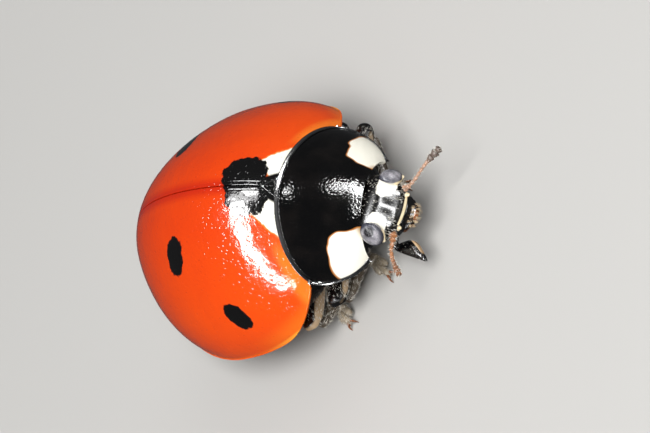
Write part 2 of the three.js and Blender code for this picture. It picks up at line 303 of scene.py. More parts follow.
def trim(point, outward):
    """Cuts the piece in edit mode open by a plane and drops what lies outward of it."""
    select_all()
    bpy.ops.mesh.bisect(plane_co=point, plane_no=outward, clear_outer=True, threshold=HAIR_BREADTH)


def fall_off(u, power):
    return max(0.0, 1 - abs(u) ** power)


def dome_height(y):
    return CREST * math.sqrt(fall_off(y / (CREST_REACH if y < 0 else APEX), CREST_ROUNDNESS))


def dome_half_width(y):
    reach, power = (SHOULDER_REACH, SHOULDER_ROUNDNESS) if y < 0 else (APEX, TAIL_ROUNDNESS)
    return HALF_WIDTH * fall_off(y / reach, power) ** (1 / power)


def add_upright_ring(name, corners):
    """A ring of 1 mm radius round the body's axis, opened in edit mode."""
    bpy.ops.mesh.primitive_circle_add(
        vertices=corners, radius=1 * MM, location=DOME_CENTRE, rotation=(math.pi / 2, 0, 0))
    ring = close_up(bpy.context.object, name)
    open_up(ring)
    return ring


left_case = add_upright_ring("wing_case_left", 4 * ARC_STEPS)
pick(left_case, lambda spot: spot.co.x < -HAIR_BREADTH or spot.co.z < DOME_CENTRE.z - HAIR_BREADTH)
bpy.ops.mesh.delete(type="VERT")
for spot in bmesh.from_edit_mesh(left_case.data).verts:
    arc = spot.co - DOME_CENTRE
    spot.co = DOME_CENTRE + arc * (1 - FLANK_FLATNESS * (2 * arc.x * arc.z / arc.length_squared) ** 2)
select_all()
last_y, last_width, last_height = 0.0, 1 * MM, 1 * MM
for k in range(STATIONS + 1):
    run = k / STATIONS
    y = BASE_SHOULDER + (APEX - BASE_SHOULDER) * (
        CROWDING * math.sin(run * math.pi / 2) + (1 - CROWDING) * run)
    width = max(dome_half_width(y), TIP_SIZE)
    height = max(dome_height(y), TIP_SIZE)
    growth = (width / last_width, 1, height / last_height)
    next_ring(k, (0, y - last_y, 0), growth, DOME_CENTRE + Vector((0, y, 0)))
    last_y, last_width, last_height = y, width, height
bpy.ops.mesh.merge(type="COLLAPSE")

# The front edge runs forward a little towards the shoulder, and the lower edge rises there.
base_slope = (BASE_MIDDLE - BASE_SHOULDER) / dome_half_width(BASE_SHOULDER)
trim(DOME_CENTRE + Vector((0, BASE_MIDDLE, 0)), (-base_slope, -1, 0))
for run in LIFTED_MARGIN:
    foot = DOME_CENTRE + Vector((0, -(1.2 + run) * MM, 0.5 * (run / 1.1) ** 2 * MM))
    trim(foot, (0, -run / 1.21, -1))
select_all()
bpy.ops.mesh.remove_doubles(threshold=1e-6)
face_out()


def on_margin(spot):
    """True on the shell's open lower edge, but not where it meets its twin or the pronotum."""
    if not spot.is_boundary or spot.co.x < 1e-6:
        return False
    base_y = DOME_CENTRE.y + BASE_MIDDLE - base_slope * spot.co.x
    return spot.co.y > base_y + 0.01 * MM and spot.co.z < DOME_CENTRE.z + 0.6 * MM


pick(left_case, on_margin)
for spread, drop in ((RIM_LIP, 0.0), (-0.015 * MM, -0.03 * MM), (-UNDER_RIM, 0.03 * MM)):
    extrude((0, 0, drop))
    growth = 1 + spread / HALF_WIDTH
    scale((growth, growth, 1), DOME_CENTRE)
face_out()
move((SEAM_GAP, 0, 0))
close_up(left_case)
finish_with(left_case, "SOLIDIFY", thickness=SHELL_WALL, offset=-1)
round_edges(left_case, 0.018, 2, 0.9)
smooth(left_case, 1)
right_case = mirror_copy(left_case, "wing_case_right")


def feed_sockets(tree, node, feeds):
    """Links or sets a node's sockets in order, and passes over None."""
    for socket, feed in zip(node.inputs, feeds):
        if isinstance(feed, bpy.types.NodeSocket):
            tree.links.new(feed, socket)
        elif feed is not None:
            socket.default_value = feed


def knot(tree, kind, *feeds, out=0, **settings):
    """Adds a shader node, feeds its sockets in order, and returns one of its outputs."""
    made = tree.nodes.new("ShaderNode" + kind)
    for name, value in settings.items():
        setattr(made, name, value)
    feed_sockets(tree, made, feeds)
    return made.outputs[out]


def math_knot(tree, operation, *feeds):
    return knot(tree, "Math", *feeds, operation=operation)


def vector_knot(tree, operation, *feeds):
    out = 1 if operation in ("DOT_PRODUCT", "DISTANCE", "LENGTH") else 0
    return knot(tree, "VectorMath", *feeds, operation=operation, out=out)


def ramp_knot(tree, value, low, high, start=0.0, end=1.0):
    """Turns low..high smoothly into start..end."""
    return knot(tree, "MapRange", value, low, high, start, end, interpolation_type="SMOOTHSTEP")


def noise_knot(tree, place, per_mm, detail, roughness):
    return knot(tree, "TexNoise", place, None, per_mm, detail, roughness)


def cells_knot(tree, place, per_mm, **settings):
    return knot(tree, "TexVoronoi", place, None, per_mm, **settings)


def mix_knot(tree, share, first, second):
    return knot(tree, "MixRGB", share, first, second)


def bump_knot(tree, height, depth):
    """A bump of this depth in millimetres."""
    return knot(tree, "Bump", 1.0, depth * MM, None, height)


def waver(tree, noise, amount):
    """A noise turned into a swing either side of nothing."""
    return math_knot(tree, "MULTIPLY", math_knot(tree, "SUBTRACT", noise, 0.5), amount)


def new_group(name, inputs, outputs):
    """A shader node group with these sockets; returns it, its inputs and its end's sockets."""
    group = bpy.data.node_groups.new(name, "ShaderNodeTree")
    for in_out, sockets in (("INPUT", inputs), ("OUTPUT", outputs)):
        for label, kind in sockets:
            group.interface.new_socket(name=label, in_out=in_out, socket_type="NodeSocket" + kind)
    start = group.nodes.new("NodeGroupInput")
    end = group.nodes.new("NodeGroupOutput")
    return group, start.outputs[:len(inputs)], end.inputs


def group_knot(tree, group, *feeds, out=0):
    """Places a node group, feeds its sockets in order, and returns one of its outputs."""
    made = tree.nodes.new("ShaderNodeGroup")
    made.node_tree = group
    feed_sockets(tree, made, feeds)
    return made.outputs[out]


def new_finish(name):
    """A material, its node tree, and its places in millimetres from the middle of the dome."""
    finish = bpy.data.materials.new(name)
    finish.use_nodes = True
    tree = finish.node_tree
    coordinates = knot(tree, "TexCoord", out=3)
    place = knot(tree, "Mapping", coordinates, -DOME_CENTRE / MM, None, (1 / MM, 1 / MM, 1 / MM))
    return finish, tree, place


def set_shader(tree, **inputs):
    """Feeds or sets the Principled shader's sockets, named with _ for each space."""
    shader = tree.nodes["Principled BSDF"]
    for name, feed in inputs.items():
        socket = shader.inputs[name.replace("_", " ")]
        if isinstance(feed, bpy.types.NodeSocket):
            tree.links.new(feed, socket)
        else:
            socket.default_value = feed


def split_place(tree, place):
    """The place's x, its distance aside from the midline, its y and its z."""
    across, along, up = knot(tree, "SeparateXYZ", place).node.outputs
    return across, math_knot(tree, "ABSOLUTE", across), along, up


# A painted spot: 1 inside a squarish oval with two half axes, ragged and soft at its edge.
OVAL_POWER = 2.4
spot_group, (spot_place, spot_centre, spot_long, spot_short, spot_ragged, spot_soft), spot_out = new_group(
    "spot",
    [("Place", "Vector"), ("Centre", "Vector"), ("Long", "Vector"), ("Short", "Vector"),
     ("Ragged", "Float"), ("Soft", "Float")],
    [("Mask", "Float")],
)
from_centre = vector_knot(spot_group, "SUBTRACT", spot_place, spot_centre)
powers = []
for half_axis in (spot_long, spot_short):
    reach = math_knot(spot_group, "ABSOLUTE", vector_knot(spot_group, "DOT_PRODUCT", from_centre, half_axis))
    powers.append(math_knot(spot_group, "POWER", reach, OVAL_POWER))
oval = math_knot(spot_group, "POWER", math_knot(spot_group, "ADD", *powers), 1 / OVAL_POWER)
ragged = waver(spot_group, noise_knot(spot_group, spot_place, 7.0, 3.0, 0.6), spot_ragged)
oval = math_knot(spot_group, "ADD", oval, ragged)
edge = math_knot(spot_group, "DIVIDE", math_knot(spot_group, "SUBTRACT", 1.0, oval), spot_soft)
spot_group.links.new(ramp_knot(spot_group, edge, -1.0, 1.0), spot_out[0])

# Fine pits pressed into the lacquer: a height for the bump, and a mask of their bottoms.
pits_group, (pits_place, pits_spacing, pits_width), pits_out = new_group(
    "pits", [("Place", "Vector"), ("Spacing", "Float"), ("Width", "Float")],
    [("Height", "Float"), ("Bottom", "Float")],
)
pit_distance = cells_knot(pits_group, pits_place, math_knot(pits_group, "DIVIDE", 1.0, pits_spacing))
pit_edge = math_knot(pits_group, "MULTIPLY", pits_width, 0.4)
pits_group.links.new(ramp_knot(pits_group, pit_distance, pit_edge, pits_width), pits_out[0])
pits_group.links.new(ramp_knot(pits_group, pit_distance, 0.0, pits_width, 1.0, 0.0), pits_out[1])

ORANGE = (0.80, 0.070, 0.003, 1)
RED = (0.64, 0.032, 0.002, 1)
SEAM_SHADE_RED = (0.50, 0.012, 0.003, 1)
SHOULDER_LIGHT_ORANGE = (0.95, 0.22, 0.012, 1)
RIM_HIGHLIGHT_AMBER = (0.95, 0.40, 0.04, 1)
UNDER_RIM_SHADE_RED = (0.55, 0.09, 0.01, 1)
FRONT_EDGE_LIGHT_ORANGE = (0.92, 0.24, 0.02, 1)
WEDGE_FRINGE = (0.95, 0.42, 0.08, 1)
PIT_SHADE_RED = (0.25, 0.01, 0.004, 1)
BLACK = (0.003, 0.0027, 0.0027, 1)
CREAM = (0.94, 0.91, 0.80, 1)
PIT_SPACING = 0.085
LACQUER_DEPTH = 0.0035
SPOT_RAGGED = 0.5

lacquer, tree, place = new_finish("red_lacquer")
across, aside, along, up = split_place(tree, place)
mirrored = knot(tree, "CombineXYZ", aside, along, up)
cloud = noise_knot(tree, place, 0.9, 3.0, 0.6)
towards_crest = math_knot(tree, "ADD", ramp_knot(tree, up, 0.9, 2.5), math_knot(tree, "SUBTRACT", cloud, 0.5))
colour = mix_knot(tree, math_knot(tree, "MULTIPLY", towards_crest, 0.55), ORANGE, RED)
# Painted light: the lower flank of the shoulder is painted a lighter orange, as if lit.
shoulder = ramp_knot(tree, along, -0.5, -1.7, 0.12, 1.0)
painted_shoulder_light = math_knot(tree, "MULTIPLY", ramp_knot(tree, up, 0.55, 0.15, 0.0, 0.5), shoulder)
colour = mix_knot(tree, painted_shoulder_light, colour, SHOULDER_LIGHT_ORANGE)
# Painted highlight: a thin amber line just above the rim at the shoulder stands in for the lamps' reflection
# along the edge.
painted_rim_highlight = math_knot(tree, "MULTIPLY", ramp_knot(tree, up, 0.10, 0.04, 0.0, 0.9), shoulder)
colour = mix_knot(tree, painted_rim_highlight, colour, RIM_HIGHLIGHT_AMBER)
# Painted shade: the rim's turned-under side is painted a darker red.
colour = mix_knot(tree, ramp_knot(tree, up, 0.02, -0.02, 0.0, 0.8), colour, UNDER_RIM_SHADE_RED)
# Painted light: the outer front edge by the shoulder is painted a lighter orange, where the lamps catch the
# bulge there.
painted_front_light = ramp_knot(tree, along, -1.98, -2.12, 0.0, 0.7)
painted_front_light = math_knot(tree, "MULTIPLY", painted_front_light, ramp_knot(tree, aside, 0.9, 1.3))
colour = mix_knot(tree, painted_front_light, colour, FRONT_EDGE_LIGHT_ORANGE)
# Painted shade: the lacquer is painted a darker red close along the seam, where the two shells meet.
colour = mix_knot(tree, ramp_knot(tree, aside, 0.26, 0.03, 0.0, 0.75), colour, SEAM_SHADE_RED)

# The wedge of cream on each side of the scutellum, behind the pronotum.
inner_edge = math_knot(tree, "SUBTRACT", math_knot(tree, "SUBTRACT", aside, along), 2.27)
outer_edge = math_knot(tree, "ADD", math_knot(tree, "MULTIPLY", aside, 1.05), along)
outer_edge = math_knot(tree, "SUBTRACT", -1.22, outer_edge)
wedge = math_knot(tree, "MINIMUM", inner_edge, outer_edge)
wedge = math_knot(tree, "ADD", wedge, waver(tree, noise_knot(tree, place, 9.0, 2.0, 0.5), 0.12))
colour = mix_knot(tree, ramp_knot(tree, wedge, -0.07, 0.0, 0.0, 0.6), colour, WEDGE_FRINGE)
colour = mix_knot(tree, ramp_knot(tree, wedge, -0.02, 0.015), colour, CREAM)

pits = group_knot(tree, pits_group, place, PIT_SPACING, 0.30)
pit_bottoms = group_knot(tree, pits_group, place, PIT_SPACING, 0.22, out=1)
# Painted shade: the bottoms of scattered pits are painted dark red.
scattered = ramp_knot(tree, noise_knot(tree, place, 3.1, 2.0, 0.5), 0.5, 0.66)
pit_shade = math_knot(tree, "MULTIPLY", math_knot(tree, "MULTIPLY", pit_bottoms, scattered), 0.55)
colour = mix_knot(tree, pit_shade, colour, PIT_SHADE_RED)

# Seven spots: one shared over the seam, painted as two halves, and three on each side.
SPOTS = (
    # centre, long and short half axes as one over their length, softness of the edge
    ((0.19, -1.56, 2.0), (2.3, 0.5, 0), (-0.5, 2.3, 0), 0.03),
    ((-0.15, -1.68, 2.0), (2.2, -0.5, 0), (0.5, 2.4, 0), 0.03),
    ((-1.21, 0.18, 2.06), (-2.28, 0.6, -1.0), (1.3, 4.2, 0), 0.05),
    ((1.32, 0.66, 1.90), (2.28, 0.6, -1.0), (-1.3, 4.2, 0), 0.05),
    ((-2.29, -0.84, 1.02), (-1.15, -1.25, -2.5), (1.6, -4.2, 1.3), 0.05),
    ((2.45, -0.84, 0.62), (1.15, -1.25, -2.5), (-1.6, -4.2, 1.3), 0.05),
)
REAR_SPOT = ((1.12, 2.36, 0.85), (2.7, -1.2, 0.0), (-0.9, -1.7, 3.0), 0.05)


def spot_knot(tree, place, centre, long_axis, short_axis, soft):
    return group_knot(tree, spot_group, place, centre, long_axis, short_axis, SPOT_RAGGED, soft)


masks = [spot_knot(tree, place, *spot) for spot in SPOTS] + [spot_knot(tree, mirrored, *REAR_SPOT)]
round_scutellum = math_knot(tree, "ADD", math_knot(tree, "MULTIPLY", along, 0.55), aside)
round_scutellum = ramp_knot(tree, round_scutellum, -0.86, -0.92)
masks.append(math_knot(tree, "MINIMUM", round_scutellum, ramp_knot(tree, aside, 0.36, 0.34)))
black_mask = masks[0]
for mask in masks[1:]:
    black_mask = math_knot(tree, "MAXIMUM", black_mask, mask)
colour = mix_knot(tree, black_mask, colour, BLACK)

# A groove along the seam, pits, slow waves and a hammered skin, each with its own weight.
from_groove = math_knot(tree, "ABSOLUTE", math_knot(tree, "SUBTRACT", aside, 0.085))
groove = math_knot(tree, "SUBTRACT", 1.0, ramp_knot(tree, from_groove, 0.0, 0.022, 1.0, 0.0))
waves = noise_knot(tree, place, 2.2, 2.0, 0.5)
hammered = noise_knot(tree, place, 11.0, 2.0, 0.5)
height = math_knot(tree, "MULTIPLY", pits, 0.8)
for relief, weight in ((groove, 0.7), (waves, 4.0), (hammered, 1.2)):
    height = math_knot(tree, "ADD", height, math_knot(tree, "MULTIPLY", relief, weight))
roughness = math_knot(tree, "ADD", 0.07, math_knot(tree, "MULTIPLY", cloud, 0.07))
set_shader(tree, Base_Color=colour, Roughness=roughness, Normal=bump_knot(tree, height, LACQUER_DEPTH),
           IOR=1.48, Specular_IOR_Level=0.75)
dress(left_case, lacquer, "elytron_left")
dress(right_case, lacquer, "elytron_right")


# ------------------------------------------------------------ the pronotum
# An arched black shield over the neck, of hard polished chitin with a cream patch at each
# front corner. Its hind and side edges are drawn out into a fine raised bead.

ARCH_STEPS = 44
ARCH_POWER = 1.25
INNER_RINGS = 26
PRONOTUM_WALL = 0.1 * MM
SIDE_EDGE = [(1.6, -2.36, 0.61), (1.585, -2.52, 0.43), (1.5, -2.73, 0.25),
             (1.37, -2.93, 0.09), (1.19, -3.1, -0.02), (0.99, -3.2, -0.09)]
MIDLINE = [(0, -2.2, 1.68), (0, -2.55, 1.5), (0, -2.95, 1.2), (0, -3.3, 0.82), (0, -3.49, 0.55)]
# How far along each ring of the shield lies, and how much it stands proud there.
BEAD_RINGS = [(0.0, -0.03), (0.006, 0.004), (0.016, 0.02), (0.028, 0.014), (0.042, -0.014), (0.062, -0.008)]
BEAD_RINGS_OUTSIDE = 5
# How far each turn of the side bead spreads and rises.
SIDE_BEAD = ((0.022, 0.016), (0.016, -0.012), (-0.012, -0.022))
SIDE_BEAD_REACH = 1.3


def through(points, t):
    """A place on the smooth curve through these points, t from 0 to 1."""
    spots = [Vector(point) for point in points]
    spots = [2 * spots[0] - spots[1]] + spots + [2 * spots[-1] - spots[-2]]
    run = min(max(t, 0.0), 0.99999) * (len(points) - 1)
    k = int(run)
    f = run - k
    a, b, c, d = spots[k:k + 4]
    return 0.5 * (2 * b + (c - a) * f + (2 * a - 5 * b + 4 * c - d) * f ** 2
                  + (3 * b - a - 3 * c + d) * f ** 3)


def on_body(spot):
    """A place given in millimetres from the middle of the dome, in metres in the frame."""
    return DOME_CENTRE + Vector(spot) * MM


def lean(angle, centre):
    bpy.ops.transform.rotate(value=angle, orient_axis="X", center_override=centre)


shield = add_upright_ring("shield", 2 * ARCH_STEPS)
pick(shield, lambda spot: spot.co.z < DOME_CENTRE.z - HAIR_BREADTH)
bpy.ops.mesh.delete(type="VERT")
pick(shield, lambda spot: spot.co.z < DOME_CENTRE.z + HAIR_BREADTH)
bpy.ops.object.vertex_group_assign_new()
for spot in bmesh.from_edit_mesh(shield.data).verts:
    spot.co.z = DOME_CENTRE.z + MM * max(0.0, (spot.co.z - DOME_CENTRE.z) / MM) ** ARCH_POWER
select_all()

# Each ring spans from the side edge over the midline, and leans as far as the two are apart.
inner_rings = [(0.06 + 0.94 * (k + 1) / INNER_RINGS, 0.0) for k in range(INNER_RINGS)]
last_centre, last_width, last_height, last_lean = DOME_CENTRE, 1 * MM, 1 * MM, 0.0
for k, (t, proud) in enumerate(BEAD_RINGS + inner_rings):
    edge = through(SIDE_EDGE, t)
    crest = through(MIDLINE, t)
    rise = Vector((0, crest.y - edge.y, crest.z - edge.z))
    centre = on_body((0, edge.y, edge.z))
    width = (edge.x + proud) * MM
    height = (rise.length + proud) * MM
    if k:
        extrude(centre - last_centre)
    else:
        move(centre - last_centre)
    lean(-last_lean, centre)
    scale((width / last_width, 1, height / last_height), centre)
    last_lean = math.atan2(rise.y, rise.z)
    lean(last_lean, centre)
    last_centre, last_width, last_height = centre, width, height

# The side bead: the lower edges are drawn out, and rolled down and under.
bpy.ops.mesh.select_all(action="DESELECT")
bpy.ops.object.vertex_group_select()
for spread, rise in SIDE_BEAD:
    extrude((0, 0, rise * MM))
    growth = spread / SIDE_BEAD_REACH
    scale((1 + growth, 1 + 0.5 * growth, 1), on_body((0, -2.5, 0)))
shield.data.materials.append(None)
shield.data.materials.append(None)
shield.active_material_index = 1
bpy.ops.mesh.select_all(action="DESELECT")
bpy.ops.object.vertex_group_select()
bpy.ops.object.material_slot_assign()
bmesh.from_edit_mesh(shield.data).verts.index_update()
pick(shield, lambda spot: spot.index < BEAD_RINGS_OUTSIDE * (ARCH_STEPS + 1))
bpy.ops.object.material_slot_assign()
face_out()
close_up(shield)
shield.vertex_groups.clear()
finish_with(shield, "SOLIDIFY", thickness=PRONOTUM_WALL, offset=-1)
round_edges(shield, 0.016, 2, 0.9)
smooth(shield, 1)

# Polished black chitin with a fine leathery grain: a height for the bump.
BLACK_LOW = (0.0015, 0.0014, 0.0015, 1)
BLACK_HIGH = (0.005, 0.004, 0.0036, 1)
grain_group, (grain_place, grain_cells), grain_out = new_group(
    "grain", [("Place", "Vector"), ("Cells", "Float")], [("Height", "Float")])
cells = cells_knot(grain_group, grain_place, grain_cells, feature="DISTANCE_TO_EDGE")
cell_tops = ramp_knot(grain_group, cells, 0.0, 0.3)
fine_noise = noise_knot(grain_group, grain_place, 12.0, 1.0, 0.5)
grain_group.links.new(math_knot(grain_group, "ADD", cell_tops, fine_noise), grain_out[0])


def black_chitin(name, roughness=0.16, cells=22.0, depth=0.0016, pit_depth=0.0, gloss=0.5):
    """Black body plate: its tree, place and colour are returned too, to paint markings into."""
    finish, tree, place = new_finish(name)
    height = group_knot(tree, grain_group, place, cells)
    if pit_depth:
        pits = group_knot(tree, pits_group, place, 0.075, 0.3)
        height = math_knot(tree, "ADD", height, math_knot(tree, "MULTIPLY", pits, pit_depth))
    cloud = noise_knot(tree, place, 2.0, 3.0, 0.6)
    rough = math_knot(tree, "ADD", roughness - 0.05, math_knot(tree, "MULTIPLY", cloud, 0.1))
    colour = mix_knot(tree, ramp_knot(tree, cloud, 0.35, 0.75), BLACK_LOW, BLACK_HIGH)
    set_shader(tree, Base_Color=colour, Roughness=rough, Normal=bump_knot(tree, height, depth),
               IOR=1.5, Specular_IOR_Level=gloss)
    return finish, tree, place, colour


# A cream patch on each front corner, bounded by a hind and an inner edge, with a brown fringe.
PATCH_FRINGE = (0.45, 0.16, 0.03, 1)
FRONT_RIM_AMBER = (0.45, 0.25, 0.07, 1)
shield_black, tree, place, colour = black_chitin("shield_black", roughness=0.1, cells=15.0, depth=0.0011)
across, aside, along, up = split_place(tree, place)
hind_edge = math_knot(tree, "SUBTRACT", math_knot(tree, "MULTIPLY", aside, 0.43), along)
hind_edge = math_knot(tree, "SUBTRACT", hind_edge, 3.43)
from_side = math_knot(tree, "MULTIPLY", math_knot(tree, "SUBTRACT", aside, 0.82), 0.846)
from_front = math_knot(tree, "MULTIPLY", math_knot(tree, "ADD", along, 3.08), 0.533)
inner_edge = math_knot(tree, "SUBTRACT", from_side, from_front)
patch = math_knot(tree, "SMOOTH_MIN", hind_edge, inner_edge, 0.06)
scallops = noise_knot(tree, knot(tree, "CombineXYZ", across, along, 0.0), 4.2, 0.6, 0.5)
patch = math_knot(tree, "ADD", patch, waver(tree, scallops, 0.12))
cream = mix_knot(tree, ramp_knot(tree, along, -3.34, -3.42), CREAM, FRONT_RIM_AMBER)
colour = mix_knot(tree, ramp_knot(tree, patch, -0.016, -0.004), colour, PATCH_FRINGE)
set_shader(tree, Base_Color=mix_knot(tree, ramp_knot(tree, patch, -0.004, 0.014), colour, cream))
shield_bead, tree, place, colour = black_chitin("shield_bead", depth=0.0003, gloss=1.0)
set_shader(tree, IOR=2.0)
shield.data.materials[0] = shield_black
shield.data.materials[1] = shield_bead
open_up(shield)
bpy.ops.mesh.separate(type="MATERIAL")
bpy.ops.object.mode_set(mode="OBJECT")
shield, bead = sorted(bpy.context.selected_objects, key=lambda piece: -len(piece.data.vertices))
close_up(bead, "shield_bead")
close_up(shield, "shield")
dress(shield, None, "pronotum")
dress(bead, None)


def set_receiver(lamp_names, piece, collection_name, state):
    """Lets these lamps light this piece only (INCLUDE), or everything but it (EXCLUDE)."""
    receiver = bpy.data.collections.new(collection_name)
    receiver.objects.link(piece)
    receiver.collection_objects[0].light_linking.link_state = state
    for name in lamp_names:
        bpy.data.objects[name].light_linking.receiver_collection = receiver


# The long boxes over the back would draw a second gleam on the shield, so it goes without them.
BACK_STRIPS = ("strip_top", "strip_high", "strip_flank", "strip_low", "strip_end")
set_receiver(BACK_STRIPS, shield, "without_side_gleam", "EXCLUDE")


# ------------------------------------------------------------ the scutellum
# A small black three-cornered plate wedged between the wing cases' front corners. Its sides
# rise into a fine ridge, and its tip slopes up with the wing cases.

SCUTELLUM_CORNERS = [(0, -1.96, 1.845), (0.2, -2.205, 1.675), (-0.2, -2.205, 1.675)]
SCUTELLUM_EDGE = 0.05 * MM


def above_scutellum(place):
    """How high a place lies over the slanting top of the plate, in metres."""
    tip, front = on_body(SCUTELLUM_CORNERS[0]), on_body(SCUTELLUM_CORNERS[1])
    return place.z - front.z - (place.y - front.y) * (tip.z - front.z) / (tip.y - front.y)


def tip_first(spot):
    return -round(spot.co.y, 6), -spot.co.x


bpy.ops.mesh.primitive_circle_add(
    vertices=3, radius=0.17 * MM, fill_type="NGON", location=on_body((0, -2.1, 1.75)))
scutellum = close_up(bpy.context.object, "scutellum_plate")
open_up(scutellum)
for spot, corner in zip(sorted(bmesh.from_edit_mesh(scutellum.data).verts, key=tip_first), SCUTELLUM_CORNERS):
    spot.co = on_body(corner)
select_all()
extrude((0, 0.05 * MM, -0.14 * MM))
pick(scutellum, lambda spot: above_scutellum(spot.co) < -SCUTELLUM_EDGE and abs(spot.co.x) < SCUTELLUM_EDGE)
move((0, 0.2 * MM, 0.08 * MM))
face_out()
pick(scutellum, lambda spot: above_scutellum(spot.co) > -SCUTELLUM_EDGE)
scutellum.data.materials.append(shield_bead)
bpy.ops.mesh.inset(thickness=0.026 * MM, depth=-0.022 * MM)
scutellum.data.materials.append(black_chitin("scutellum_black", roughness=0.12, cells=14.0, depth=0.002)[0])
scutellum.active_material_index = 1
bpy.ops.object.material_slot_assign()
close_up(scutellum)
round_edges(scutellum, 0.009, 3, 0.5)
bpy.ops.object.shade_smooth()
dress(scutellum, None, "scutellum")


# ------------------------------------------------------------ the head
# A rounded black capsule, drawn back into the pronotum and bent a little to its right, with
# a flat face that slopes forward to the mouth. Two cream marks lie beside the eyes.

HEAD_CENTRE = Vector((-0.08, -3.5, 0.0))
HEAD_YAW = 0.18
HEAD_TURN = Matrix.Rotation(-HEAD_YAW, 3, "Z")
HEAD_SIDES = 48
HEAD_ROUNDNESS = 0.78
FACE_RINGS = [
    # up, front, back, half width
    (-0.56, 0.10, -0.16, 0.18), (-0.53, 0.17, -0.26, 0.32), (-0.44, 0.25, -0.34, 0.44),
    (-0.32, 0.33, -0.38, 0.52), (-0.20, 0.40, -0.40, 0.56), (-0.08, 0.46, -0.42, 0.59),
    (0.02, 0.455, -0.42, 0.61), (0.14, 0.40, -0.42, 0.63), (0.25, 0.335, -0.40, 0.62),
    (0.34, 0.265, -0.38, 0.59), (0.40, 0.185, -0.34, 0.53), (0.44, 0.10, -0.28, 0.43),
    (0.46, 0.02, -0.20, 0.28), (0.465, -0.05, -0.12, 0.10),
]
# Two shallow dents in the face beside its midline, and a raised brow over each feeler:
# side, forward, up, how far round it reaches, and how it is moved.
FACE_MODELLING = (
    (0.2, 0.36, 0.16, 0.13, (0, 0.035, 0)),
    (0.42, 0.33, 0.02, 0.12, (0, -0.03, 0.01)),
)


def straight_head(side, forward, up):
    """A place on the head before it is turned, in millimetres: left of, ahead of and over its centre."""
    return on_body(HEAD_CENTRE + Vector((side, -forward, up)))


def turn_with_head(piece):
    """Turns a piece made straight ahead of the head's centre into the head's own heading."""
    take(piece)
    bpy.ops.transform.rotate(value=HEAD_YAW, orient_axis="Z", center_override=on_body(HEAD_CENTRE))
    close_up(piece)


def close_ends(piece, on_first_ring):
    """Closes the selected last ring and the first one with a face each."""
    bpy.ops.mesh.edge_face_add()
    pick(piece, on_first_ring)
    bpy.ops.mesh.edge_face_add()
    face_out()


bpy.ops.mesh.primitive_circle_add(vertices=HEAD_SIDES, radius=1 * MM, location=straight_head(0, 0, 0))
head = close_up(bpy.context.object, "head_capsule")
open_up(head)
for spot in bmesh.from_edit_mesh(head.data).verts:
    offset = spot.co - straight_head(0, 0, 0)
    for axis in (0, 1):
        u = offset[axis] / MM
        offset[axis] = MM * math.copysign(abs(u) ** HEAD_ROUNDNESS, u)
    spot.co = straight_head(0, 0, 0) + offset
select_all()
last_middle, last_depth, last_width, last_up = 0.0, 1.0, 1.0, 0.0
for k, (up, front, back, half_width) in enumerate(FACE_RINGS):
    middle = (front + back) / 2
    depth = (front - back) / 2
    step = Vector((0, last_middle - middle, up - last_up)) * MM
    next_ring(k, step, (half_width / last_width, depth / last_depth, 1), straight_head(0, middle, up))
    last_middle, last_depth, last_width, last_up = middle, depth, half_width, up
lowest = straight_head(0, 0, FACE_RINGS[0][0] + 0.005).z
close_ends(head, lambda spot: spot.co.z < lowest)
for mirror in (-1, 1):
    for side, forward, up, reach, shift in FACE_MODELLING:
        middle = straight_head(side * mirror, forward, up)
        pick(head, lambda spot: (spot.co - middle).length < reach * MM)
        move(Vector(shift) * MM)
close_up(head)
smooth(head, 2)
turn_with_head(head)

head_black, tree, place, colour = black_chitin("head_black", roughness=0.22, depth=0.0006, gloss=0.6)
in_head = knot(tree, "Mapping", place)
in_head.node.vector_type = "TEXTURE"
in_head.node.inputs["Location"].default_value = HEAD_CENTRE
in_head.node.inputs["Rotation"].default_value = (0, 0, -HEAD_YAW)
face_marks = [
    spot_knot(tree, in_head, (mirror * 0.37, -0.33, 0.26), (5.0, mirror * -1.2, mirror * 2.4),
              (mirror * 1.0, 0.5, 6.6), 0.05)
    for mirror in (-1, 1)
]
marked = mix_knot(tree, math_knot(tree, "MAXIMUM", *face_marks), colour, CREAM)
set_shader(tree, Base_Color=marked)
dress(head, head_black, "head")

# The boxes in front pass the face by, and one of its own draws the gleam down between its marks.
set_receiver(("strip_cheek",), head, "face_only", "INCLUDE")
FRONT_STRIPS = ("strip_brow", "strip_bend", "strip_face", "strip_crown")
set_receiver(FRONT_STRIPS, head, "without_face_gleam", "EXCLUDE")


# ------------------------------------------------------------ the eyes
# Two bulging grey eyes of hundreds of tiny lenses, set in the sides of the head. Each has a
# dark pseudopupil painted looking forward, and a rim painted near black as shade.

EYE_PLACES = (
    # name, side, middle, half sizes, painted pseudopupil, growth of the hidden half
    ("left", 1, (0.575, 0.275, 0.25), (0.20, 0.23, 0.14), (0.80, -0.42, 0.26), 0.8),
    ("right", -1, (0.60, 0.28, 0.30), (0.225, 0.26, 0.15), (-0.63, -0.37, 0.47), 1.6),
)
LENSES_PER_MM = 42.0
EYE_DARK_GREY = (0.16, 0.155, 0.175, 1)
EYE_PALE_GREY = (0.46, 0.44, 0.47, 1)
EYE_RIM_SHADE = (0.05, 0.05, 0.07, 1)
PAINTED_PSEUDOPUPIL = (0.008, 0.007, 0.010, 1)
LENS_GAP = (0.03, 0.03, 0.04, 1)

